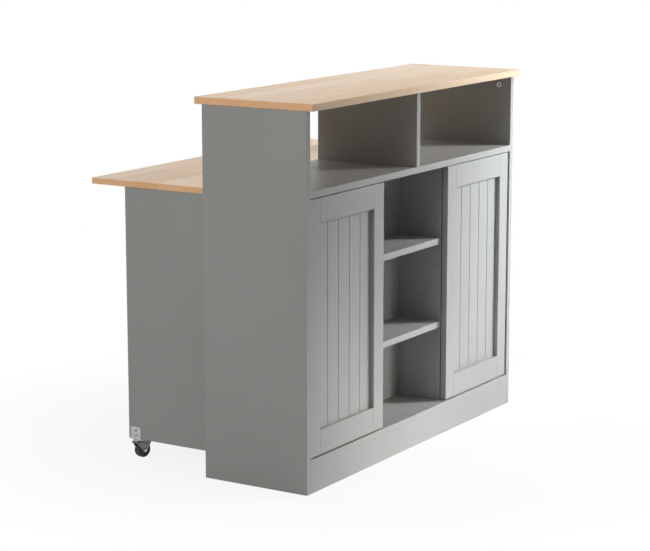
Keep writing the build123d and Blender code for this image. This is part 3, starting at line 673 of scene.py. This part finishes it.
def bar(name, size, middle=(0, 0, 0), soft=0.0):
    """A bar with its edges rounded over, for a cutter, rib or pad."""
    shape = bmesh.new()
    bmesh.ops.create_cube(shape, size=1.0)
    bmesh.ops.scale(shape, vec=size, verts=shape.verts)
    bmesh.ops.translate(shape, vec=middle, verts=shape.verts)
    if soft:
        bmesh.ops.bevel(shape, geom=shape.edges, offset=soft, segments=2, profile=0.5, affect="EDGES")
    mesh = bpy.data.meshes.new(name)
    shape.to_mesh(mesh)
    shape.free()
    piece = bpy.data.objects.new(name, mesh)
    bpy.context.scene.collection.objects.link(piece)
    return piece


# %% [markdown]
# ## Stamping fittings on points
#
# Thirty-six driven screws and twenty-six cams would be dull to place one by one. A Geometry Nodes tree
# does it: each place is one point that carries the way its head faces, the tree sets a copy of the
# fitting on every point, turns it by a random amount about its own axis as a hand-driven screw would
# be, makes the copies real and gives them their material. The seed is fixed, so the result is the same
# each run.


# %% The stamping tree
# Sockets of the random value, which go by number because each kind of value has its own
HIGHEST_VALUE = 3
VALUE_SEED = 8


def stamping_tree():
    """Copies of one fitting on points, each turned at random about the way that it faces."""
    tree = bpy.data.node_groups.new("stamp_fittings", "GeometryNodeTree")
    sockets = (
        ("Places", "NodeSocketGeometry"),
        ("Fitting", "NodeSocketObject"),
        ("Finish", "NodeSocketMaterial"),
        ("Widest Turn", "NodeSocketFloat"),
        ("Seed", "NodeSocketInt"),
    )
    for label, kind in sockets:
        tree.interface.new_socket(name=label, in_out="INPUT", socket_type=kind)
    tree.interface.new_socket(name="Fittings", in_out="OUTPUT", socket_type="NodeSocketGeometry")
    given = put(tree, "NodeGroupInput").outputs
    facing = put(tree, "GeometryNodeInputNamedAttribute", {"Name": "facing"}, data_type="FLOAT_VECTOR")
    facing_out = next(s for s in facing.outputs if s.enabled)
    aim = put(tree, "FunctionNodeAlignRotationToVector", {"Vector": facing_out}, axis="Z")
    limits = {HIGHEST_VALUE: given["Widest Turn"], VALUE_SEED: given["Seed"]}
    chance = put(tree, "FunctionNodeRandomValue", limits, data_type="FLOAT").outputs[1]
    spin = put(tree, "FunctionNodeAxisAngleToRotation", {"Axis": (0, 0, 1), "Angle": chance})
    turned_by = put(tree, "FunctionNodeRotateRotation",
                    {"Rotation": aim.outputs[0], "Rotate By": spin.outputs[0]}, rotation_space="LOCAL")
    source = put(tree, "GeometryNodeObjectInfo", {"Object": given["Fitting"], "As Instance": True})
    stamp = put(tree, "GeometryNodeInstanceOnPoints",
                {"Points": given["Places"], "Instance": source.outputs["Geometry"],
                 "Rotation": turned_by.outputs[0]})
    real = put(tree, "GeometryNodeRealizeInstances", {"Geometry": stamp.outputs[0]})
    painted = put(tree, "GeometryNodeSetMaterial",
                  {"Geometry": real.outputs[0], "Material": given["Finish"]})
    put(tree, "NodeGroupOutput", {0: painted.outputs[0]})
    return tree


STAMP = stamping_tree()


def set_input(modifier, label, value):
    """Sets a modifier's input by its label."""
    for item in modifier.node_group.interface.items_tree:
        if item.item_type == "SOCKET" and item.in_out == "INPUT" and item.name == label:
            modifier[item.identifier] = value


def stamped(name, fitting, places, material, body, turn=0.0, seed=1, stands_for=None, seat=None):
    """One mesh with a copy of the fitting at every place, moved to its seat, riding on a body."""
    mesh = bpy.data.meshes.new(name + "_places")
    mesh.from_pydata([tuple(head) for head, _ in places], [], [])
    facing = mesh.attributes.new("facing", "FLOAT_VECTOR", "POINT")
    for i, (_, way) in enumerate(places):
        facing.data[i].vector = way
    holder = bpy.data.objects.new(name + "_places", mesh)
    bpy.context.scene.collection.objects.link(holder)
    modifier = holder.modifiers.new("stamp", "NODES")
    modifier.node_group = STAMP
    set_input(modifier, "Fitting", fitting)
    set_input(modifier, "Finish", material)
    set_input(modifier, "Widest Turn", turn)
    set_input(modifier, "Seed", seed)
    piece = finish_mesh(frozen(holder, name), material)
    if seat:
        piece.data.transform(seat)
    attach(piece, body)
    if stands_for:
        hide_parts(stands_for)
    print(name, "has", len(places), "copies,", len(piece.data.polygons), "faces")
    return piece


def on_body(piece, body, slot, *stands_for):
    """Lets a piece ride on a body and stand for solids of the frame."""
    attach(piece, body)
    if stands_for:
        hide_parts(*stands_for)
    return piece


# %% [markdown]
# ## Screws with a cross recess
#
# A countersunk screw is a flat head, a cone under it, and a threaded shank. The casters have pan heads
# instead, which stand on the plate and are rounded. The shank is hidden in the board, so a stack of
# sharp rings is enough for its thread. The cross recess does show, and it is cut with two crossing
# bars, because the recess is what tells the eye that this is a screw and not a dot.

# %% Screws
SCREW_HEAD_RADIUS = 3.6 * MM
SCREW_HEAD_HEIGHT = 2.0 * MM
SCREW_SHANK_RADIUS = 1.7 * MM
SCREW_CORE_RADIUS = 1.25 * MM
SCREW_LENGTH = 15.0 * MM
SCREW_THREADS = 9
CROSS_LENGTH = 3.9 * MM
CROSS_WIDTH = 0.85 * MM
CROSS_DEPTH = 1.3 * MM
FLAT_SHARES = [(1.0, -0.125), (0.93, 0.0), (0.0, 0.0)]
PAN_RADIUS = 4.4 * MM
PAN_HEIGHT = 2.4 * MM
PAN_SHARES = [(1.0, -1.0), (1.0, -0.55), (0.93, -0.25), (0.75, -0.06), (0.5, 0.0), (0.0, 0.0)]
PAN_SIDES = 32
PAN_CROSS_SCALE = 1.35


def threaded_shank(tip, top):
    """Outline points of a threaded shank, from its tip up to its head."""
    pitch = (top - tip - 2 * SCREW_SHANK_RADIUS) / SCREW_THREADS
    points = [(0.0, tip)]
    for i in range(SCREW_THREADS):
        z = tip + SCREW_SHANK_RADIUS + i * pitch
        points += [(SCREW_CORE_RADIUS, z), (SCREW_SHANK_RADIUS, z + pitch / 2)]
    return points + [(SCREW_CORE_RADIUS, top - SCREW_SHANK_RADIUS), (SCREW_SHANK_RADIUS, top)]


def cross_cut(body, name, scale=1.0):
    """Cuts a cross recess into a head whose top is at zero height."""
    length, width, depth = (scale * v for v in (CROSS_LENGTH, CROSS_WIDTH, 2 * CROSS_DEPTH))
    arms = [bar("cross_a", (length, width, depth)), bar("cross_b", (width, length, depth))]
    return cut_away(body, arms, name)


def outline_from(shares, radius, height):
    """Outline points from shares of a radius and a height."""
    return [(r * radius, z * height) for r, z in shares]


def flat_screw():
    """A countersunk screw with its head's top at zero height."""
    outline = threaded_shank(-SCREW_LENGTH, -SCREW_HEAD_HEIGHT)
    outline += outline_from(FLAT_SHARES, SCREW_HEAD_RADIUS, SCREW_HEAD_HEIGHT)
    return cross_cut(turned("screw_body", outline), "flat_screw")


def pan_screw():
    """A screw with a rounded head that stands on the plate."""
    outline = threaded_shank(-SCREW_LENGTH - PAN_HEIGHT, -PAN_HEIGHT)
    outline += outline_from(PAN_SHARES, PAN_RADIUS, PAN_HEIGHT)
    return cross_cut(turned("pan_body", outline, PAN_SIDES), "pan_screw", PAN_CROSS_SCALE)


screw = flat_screw()
pan_head = pan_screw()
for name, fitting, body, seed in (("caster_screws", pan_head, "table", 5),
                                  ("mounting_screws", screw, "cabinet", 6),
                                  ("back_panel_screws", screw, "cabinet", 7)):
    stamped("driven_" + name, fitting, screw_places[name], zinc, body,
            turn=math.pi, seed=seed, stands_for=name)

# %% [markdown]
# ## Cam locks
#
# A cam lock is a small drum, sunk flush into a board, that a screwdriver turns to pull a bolt tight.
# Its face has a raised rim, a cross slot, a pointer that shows where the hook is, and in the middle a
# round well for the screwdriver. It is turned from an outline and cut with three bars. A small dark
# disc down in the well is painted shade, so that the well looks deep.

# %% Cam locks
CAM_RADIUS = 7.5 * MM
CAM_HEIGHT = 12.0 * MM
CAM_RIM = 1.1 * MM
CAM_FACE_DROP = 0.7 * MM
CAM_SLOT_LENGTH = 8.6 * MM
CAM_SLOT_WIDTH = 2.4 * MM
CAM_SLOT_DEPTH = 2.4 * MM
CAM_WELL_RADIUS = 2.7 * MM
CAM_WELL_DEPTH = 4.0 * MM
CAM_WELL_SIGHT = 1.2 * MM
CAM_SIDES = 40


def cam_drum():
    """The slotted drum, with its face at zero height."""
    inner = CAM_RADIUS - CAM_RIM
    soft = CAM_RIM / 4
    outline = [
        (0.0, -CAM_HEIGHT),
        (CAM_RADIUS - soft, -CAM_HEIGHT),
        (CAM_RADIUS, -CAM_HEIGHT + soft),
        (CAM_RADIUS, -soft),
        (CAM_RADIUS - soft, 0.0),
        (inner + soft, 0.0),
        (inner, -soft),
        (inner - soft, -CAM_FACE_DROP),
        (CAM_WELL_RADIUS, -CAM_FACE_DROP),
        (CAM_WELL_RADIUS, -CAM_WELL_DEPTH),
        (0.0, -CAM_WELL_DEPTH),
    ]
    body = turned("drum_body", outline, CAM_SIDES)
    depth = 2 * (CAM_FACE_DROP + CAM_SLOT_DEPTH)
    cutters = [bar("slot_a", (CAM_SLOT_LENGTH, CAM_SLOT_WIDTH, depth)),
               bar("slot_b", (CAM_SLOT_WIDTH, CAM_SLOT_LENGTH, depth)),
               bar("pointer", (CAM_RIM, CAM_RIM / 2, CAM_RIM * 2), (CAM_SLOT_LENGTH / 2 + CAM_RIM, 0, 0))]
    return cut_away(body, cutters, "cam_drum")


def cam_well():
    """A dark disc in the drum's well, as painted shade."""
    top = -CAM_FACE_DROP - CAM_WELL_SIGHT
    outline = [
        (0.0, -CAM_WELL_DEPTH),
        (CAM_WELL_RADIUS, -CAM_WELL_DEPTH),
        (CAM_WELL_RADIUS, top),
        (0.0, top),
    ]
    return turned("cam_well", outline)


drum = cam_drum()
well = cam_well()
for name, body, seed in (("cam_locks", "cabinet", 2), ("table_cam_locks", "table", 4)):
    stamped("turned_" + name, drum, cam_places[name], nickel, body,
            turn=math.pi / 3, seed=seed, stands_for=name)
    # Each well holds a dark disc, painted shade that makes its floor look deep
    stamped("wells_of_" + name, well, cam_places[name], painted_well_shade, body,
            stands_for=name)

# %% [markdown]
# ## Shelf pins
#
# Each adjustable shelf lies on four steel pins. Half of a pin is in the board, a thin collar stops it
# at the face, and the end has a small dome. The way that a pin points is the way to the middle of the
# nearest shelf.

# %% Shelf pins
PIN_RADIUS = 2.5 * MM
PIN_REACH = 8.0 * MM
PIN_COLLAR_RADIUS = 3.7 * MM
PIN_COLLAR = 0.6 * MM
ADJUSTABLE = ("bay_shelf_upper", "left_cupboard_shelf", "right_cupboard_shelf")


def shelf_pin():
    """A collared pin, half of it above zero height."""
    dome = PIN_RADIUS / 3
    outline = [
        (0.0, -PIN_REACH),
        (PIN_RADIUS - dome, -PIN_REACH),
        (PIN_RADIUS, -PIN_REACH + dome),
        (PIN_RADIUS, 0.0),
        (PIN_COLLAR_RADIUS, 0.0),
        (PIN_COLLAR_RADIUS, PIN_COLLAR),
        (PIN_RADIUS, PIN_COLLAR),
        (PIN_RADIUS, PIN_REACH - dome),
        (PIN_RADIUS - dome, PIN_REACH - dome / 3),
        (0.0, PIN_REACH),
    ]
    return finish_mesh(turned("shelf_pin", outline), nickel)


def pin_places():
    """The middle of each pin, and the way to its shelf."""
    found = []
    boxes = [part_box(name) for name in ADJUSTABLE]
    for points in solids_in("shelf_pins"):
        low, high = extent(points)
        middle = (low + high) / 2
        shelf_low, shelf_high = min(boxes, key=lambda box: min(abs(middle.x - end.x) for end in box))
        way = 1.0 if middle.x < (shelf_low.x + shelf_high.x) / 2 else -1.0
        found.append((middle, Vector((way, 0, 0))))
    return found


pin = shelf_pin()
stamped("collared_shelf_pins", pin, pin_places(), nickel, "cabinet",
        stands_for="shelf_pins")

# %% [markdown]
# ## Stamped sheet metal
#
# Hinge arms, hinge cups, caster plates and forks are pressed from sheet, and a press never leaves a
# knife edge. The solids have the right shape, so each is copied, its triangles are joined into whole
# faces, and a small bevel rounds the edges. The rounded edge is what catches the light.

# %% Round the pressed edges
PRESSED_EDGE = 0.3 * MM
FLAT_ANGLE = math.radians(0.4)
BEVEL_ANGLE = math.radians(40)


def pressed(node, name, material, width=PRESSED_EDGE):
    """A copy of a node with its sharp edges rounded, in the node's place."""
    shape = joined_copy(node)
    bmesh.ops.dissolve_limit(shape, angle_limit=FLAT_ANGLE, verts=shape.verts, edges=shape.edges)
    mesh = bpy.data.meshes.new(name)
    shape.to_mesh(mesh)
    shape.free()
    piece = bpy.data.objects.new(name, mesh)
    bpy.context.scene.collection.objects.link(piece)
    edge = piece.modifiers.new("edge", "BEVEL")
    edge.width = width
    edge.segments = 2
    edge.limit_method = "ANGLE"
    edge.angle_limit = BEVEL_ANGLE
    piece = finish_mesh(frozen(piece, name), material)
    body = nodes[node]["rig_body"]
    return on_body(piece, body, slot_of[node], node)


CASTERS = ("outer_left", "outer_right", "inner_left", "inner_right")
pressed("hinge_arms", "pressed_hinge_arms", nickel)
for side in ("left", "right"):
    pressed(f"{side}_door_hinge_cups", f"pressed_{side}_hinge_cups", nickel)
pressed("caster_plates", "pressed_caster_plates", zinc)
for name in CASTERS:
    pressed(f"{name}_caster_fork", f"pressed_{name}_fork", dark_zinc)
    pressed(f"{name}_caster_axle", f"turned_{name}_axle", zinc)
print("pressed edges are", PRESSED_EDGE / MM, "mm wide")

# %% [markdown]
# ## Screws of the hinges
#
# Two more screws hold each cup to its door, and two small ones on each arm adjust how the door hangs.
# Their places come from the boxes of the cups and arms: near the flange's two ends, and at the middle
# and near the back of the arm.

# %% Hinge screws
FLANGE_SCREW_SHARE = 0.80
ARM_SCREW_SHARES = (0.45, 0.82)


def flange_screws(side):
    """Two places on each wide flange of a door's hinge cups."""
    found = []
    for points in solids_in(f"{side}_door_hinge_cups"):
        low, high = extent(points)
        middle = (low + high) / 2
        half = (high.z - low.z) / 2
        if high.x - low.x < half / 2:
            continue
        for way in (-1, 1):
            place = Vector((middle.x, high.y, middle.z + way * half * FLANGE_SCREW_SHARE))
            found.append((place, Vector((0, 1, 0))))
    return found


def arm_screws():
    """Two places on the raised face of each hinge arm."""
    found = []
    for points in solids_in("hinge_arms"):
        low, high = extent(points)
        wall = low.x if low.x < 0 else high.x
        way = 1.0 if wall < 0 else -1.0
        raised = [p for p in points if p.y > (low.y + high.y) / 2]
        face_x = max((p.x for p in raised), key=lambda x: way * x)
        for share in ARM_SCREW_SHARES:
            found.append((Vector((face_x, low.y + (high.y - low.y) * share, (low.z + high.z) / 2)),
                          Vector((way, 0, 0))))
    return found


for side in ("left", "right"):
    stamped(f"{side}_cup_screws", screw, flange_screws(side), zinc, f"{side}_door",
            turn=math.pi, seed=8)
stamped("arm_adjusting_screws", screw, arm_screws(), zinc, "cabinet", turn=math.pi, seed=9)

# %% [markdown]
# ## Wheels
#
# A caster wheel is two materials moulded together: a soft black tread with rounded shoulders, and a
# hard hub with a boss round the axle and thin ribs in its dish. Tread and hub are turned from outlines
# whose points are shares of the wheel's radius and half width, so they fit any wheel of the frame. The
# ribs are stamped round the axle with the same tree as the screws. The outer casters stand turned, so
# each wheel is made lying on X first, and the axis of its joint in the frame says how to seat it.

# %% Wheels
TREAD_SHARES = [(0.63, 0.70), (0.655, 0.93), (0.69, 0.985), (0.74, 1.0), (0.86, 1.0), (0.925, 0.95),
                (0.97, 0.84), (0.994, 0.66), (1.0, 0.40), (1.0, 0.045), (0.988, 0.02)]
HUB_SHARES = [(0.158, 1.0), (0.335, 1.0), (0.35, 0.97), (0.36, 0.78), (0.62, 0.74), (0.64, 0.66),
              (0.64, 0.0)]
RIB_COUNT = 8
RIB_WIDTH_SHARE = 0.055
RIB_INNER_SHARE = 0.35
RIB_OUTER_SHARE = 0.63
RIB_HEIGHT_SHARE = 0.2
RIB_PLACE_SHARE = 0.8
TREAD_SIDES = 72
HUB_SIDES = 48


def mirrored(shares, radius, half):
    """An outline from its upper half, given as shares."""
    upper = outline_from(shares, radius, half)
    lower = [(r, -z) for r, z in upper if z > 0]
    return upper + lower[::-1]


joints = {row["name"]: row for row in frame["joints"]}
ONTO_X = Matrix.Rotation(math.pi / 2, 4, "Y")


def seat_at(joint):
    """The place of a joint as a matrix: X along the joint's axis, Z up."""
    across = Vector(joints[joint]["axis"]).normalized()
    up = Vector((0, 0, 1))
    turn = Matrix((across, up.cross(across), up)).transposed().to_4x4()
    return Matrix.Translation(joints[joint]["pos_m"]) @ turn


def extent_at(seat, node):
    """The lowest and highest corner of a node, measured along its seat's own axes."""
    back = seat.inverted()
    return extent([back @ v.co for v in nodes[node].data.vertices])


def build_wheel(name):
    """Tread, hub and ribs of one caster's wheel."""
    node = f"{name}_caster_wheel"
    body = f"{name}_wheel"
    seat = seat_at(f"{name}_roll")
    low, high = extent_at(seat, node)
    radius = high.z
    half = high.x
    for part, shares, sides, material, slot in (
        ("tread", TREAD_SHARES, TREAD_SIDES, rubber, "wheel_rubber"),
        ("hub", HUB_SHARES, HUB_SIDES, hub_plastic, "black_plastic"),
    ):
        piece = turned(f"{name}_{part}", mirrored(shares, radius, half), sides)
        piece.data.transform(seat @ ONTO_X)
        on_body(finish_mesh(piece, material), body, slot, node)
    length = (RIB_OUTER_SHARE - RIB_INNER_SHARE) * radius
    height = RIB_HEIGHT_SHARE * half
    rib = bar("rib", (height, RIB_WIDTH_SHARE * radius, length), soft=height / 5)
    ring = (RIB_OUTER_SHARE + RIB_INNER_SHARE) / 2 * radius
    places = []
    for side in (-1, 1):
        for i in range(RIB_COUNT):
            angle = 2 * math.pi * i / RIB_COUNT
            way = Vector((0, math.sin(angle), math.cos(angle)))
            places.append((way * ring + Vector((side * RIB_PLACE_SHARE * half, 0, 0)), way))
    stamped(f"{name}_hub_ribs", rib, places, hub_plastic, body, seat=seat)
    bpy.data.objects.remove(rib)


for name in CASTERS:
    build_wheel(name)

# %% [markdown]
# ## Brake pedals
#
# The two outer casters have a pedal behind the wheel. It is a moulded lever, so its edges are rounded
# a little more than pressed steel, and its tip carries a few raised ribs for the sole of a shoe.

# %% Brake pedals
MOULDED_EDGE = 0.5 * MM
GRIP_RIBS = 4
GRIP_WIDTH_SHARE = 0.3
GRIP_LENGTH_SHARE = 0.03
GRIP_HEIGHT_SHARE = 0.05
GRIP_SOFT_SHARE = 0.01
GRIP_FIRST_SHARE = 0.05
GRIP_PITCH_SHARE = 0.045


def build_pedal(name):
    """One caster's brake pedal, with ribs across its tip."""
    node = f"{name}_brake_pedal"
    pressed(node, f"moulded_{name}_pedal", pedal_plastic, MOULDED_EDGE)
    seat = seat_at(f"{name}_brake_press")
    low, high = extent_at(seat, node)
    reach = high.y - low.y
    size = (GRIP_WIDTH_SHARE * (high.x - low.x), GRIP_LENGTH_SHARE * reach, GRIP_HEIGHT_SHARE * reach)
    rib = bar("grip", size, soft=GRIP_SOFT_SHARE * reach)
    places = []
    for i in range(GRIP_RIBS):
        share = GRIP_FIRST_SHARE + GRIP_PITCH_SHARE * i
        places.append((Vector((0, low.y + reach * share, high.z)), Vector((0, 0, 1))))
    stamped(f"{name}_grip_ribs", rib, places, pedal_plastic, f"{name}_brake", seat=seat)
    bpy.data.objects.remove(rib)


for name in CASTERS[:2]:
    build_pedal(name)

for template in (screw, pan_head, drum, well, pin):
    bpy.data.objects.remove(template)

# %% [markdown]
# ## Floor
#
# The island stands on a plain pale floor that fades to white, as a paper sweep in a studio does. The
# floor keeps the island's soft shadow and sends light back up under the shelves. The white that the
# eye and the reflections see is separate from the light that scatters, so it adds no light.


# %% Floor
FLOOR_HALF = 45.0
FLOOR_CELLS = 8
FLOOR_TONE = 0.8
FADE_START = 0.5
FADE_END = 1.2
GLOW_NEAR = 0.85


def seen_directly(tree):
    """1 for rays that come from the eye, a reflection or clear glass, and 0 for light that scatters."""
    ray = put(tree, "ShaderNodeLightPath").outputs
    seen = calc(tree, "MAXIMUM", ray["Is Camera Ray"], ray["Is Glossy Ray"])
    return calc(tree, "MAXIMUM", seen, ray["Is Transmission Ray"])


def build_floor():
    """The sweep under the island, which fades to white."""
    shape = bmesh.new()
    bmesh.ops.create_grid(shape, x_segments=FLOOR_CELLS, y_segments=FLOOR_CELLS, size=FLOOR_HALF)
    mesh = bpy.data.meshes.new("floor")
    shape.to_mesh(mesh)
    shape.free()
    floor = bpy.data.objects.new("floor", mesh)
    bpy.context.scene.collection.objects.link(floor)
    material, tree, surface = shader("pale_floor", Roughness=0.85)
    surface.inputs["Base Color"].default_value = (FLOOR_TONE, FLOOR_TONE, FLOOR_TONE, 1.0)
    place = put(tree, "ShaderNodeTexCoord").outputs["Object"]
    away = put(tree, "ShaderNodeVectorMath", {0: place}, operation="LENGTH").outputs["Value"]
    fade = spread(tree, away, FADE_START, FADE_END, GLOW_NEAR, 1.0)
    glow = put(tree, "ShaderNodeEmission", {"Color": (1.0, 1.0, 1.0, 1.0), "Strength": 1.0})
    factor = calc(tree, "MULTIPLY", fade, seen_directly(tree))
    mixed = put(tree, "ShaderNodeMixShader", {0: factor, 1: surface.outputs[0], 2: glow.outputs[0]})
    output = next(n for n in tree.nodes if n.type == "OUTPUT_MATERIAL")
    tree.links.new(mixed.outputs[0], output.inputs["Surface"])
    mesh.materials.append(material)


build_floor()
print("the floor fades to white from", FADE_START, "to", FADE_END, "m")

# %% [markdown]
# ## Air and lamps
#
# A softbox stands like a window in front, to the right and above the counter. Two small ones with a
# narrow beam add to it, one cool and at counter height, one near the floor, so the front gets brighter
# towards its right end and its foot while the open shelves stay deep. Large softboxes on the left,
# above, in front and behind keep every side readable. The lamps are kept out of reflections, so that
# none burns out on the varnish, and the air is seen as white but gives only a dim light.

# %% Air and lamps
AIR_LIGHT = 0.06
WHITE = (1.0, 1.0, 1.0)
DAYLIGHT = (0.82, 0.92, 1.0)

# Name, place, target, size in metres, watts, beam in degrees and colour
LAMPS = (
    ("window_softbox", (1.9, -2.2, 1.8), (0.65, -0.35, 0.42), 0.6, 12.5, 62, WHITE),
    ("right_softbox", (1.4, -1.3, 1.0), (0.75, -0.35, 0.64), 0.5, 4.4, 70, DAYLIGHT),
    ("low_softbox", (0.45, -1.7, 0.20), (-0.15, -0.35, 0.0), 0.5, 1.2, 44, WHITE),
    ("front_softbox", (0.6, -2.4, 3.0), (0.1, -0.3, 0.6), 1.4, 4.0, 180, WHITE),
    ("left_softbox", (-3.4, -0.2, 2.4), (-0.5, 0.0, 0.5), 1.8, 52.0, 180, WHITE),
    ("top_softbox", (0.2, 0.5, 3.4), (0.0, 0.0, 0.9), 2.0, 27.0, 180, WHITE),
    ("back_softbox", (0.8, 3.4, 1.9), (0.0, 0.0, 0.5), 1.8, 30.0, 180, WHITE),
)


def build_air():
    """Dim light from all round, seen as white."""
    world = bpy.data.worlds.new("air")
    bpy.context.scene.world = world
    world.use_nodes = True
    tree = world.node_tree
    tree.nodes.clear()
    dim = put(tree, "ShaderNodeBackground", {"Color": (*WHITE, 1.0), "Strength": AIR_LIGHT})
    white = put(tree, "ShaderNodeBackground", {"Color": (*WHITE, 1.0), "Strength": 1.0})
    mixed = put(tree, "ShaderNodeMixShader",
                {0: seen_directly(tree), 1: dim.outputs[0], 2: white.outputs[0]})
    put(tree, "ShaderNodeOutputWorld", {"Surface": mixed.outputs[0]})


def build_lamp(name, place, target, size, power, spread_angle, colour):
    """A square softbox that only its light gives away."""
    data = bpy.data.lights.new(name, "AREA")
    data.shape = "SQUARE"
    data.size = size
    data.energy = power
    data.color = colour
    data.spread = math.radians(spread_angle)
    lamp = bpy.data.objects.new(name, data)
    lamp.location = place
    lamp.rotation_euler = (Vector(target) - Vector(place)).to_track_quat("-Z", "Y").to_euler()
    lamp.visible_camera = False
    lamp.visible_glossy = False
    bpy.context.scene.collection.objects.link(lamp)


build_air()
for lamp in LAMPS:
    build_lamp(*lamp)
print(len(LAMPS), "lamps placed")
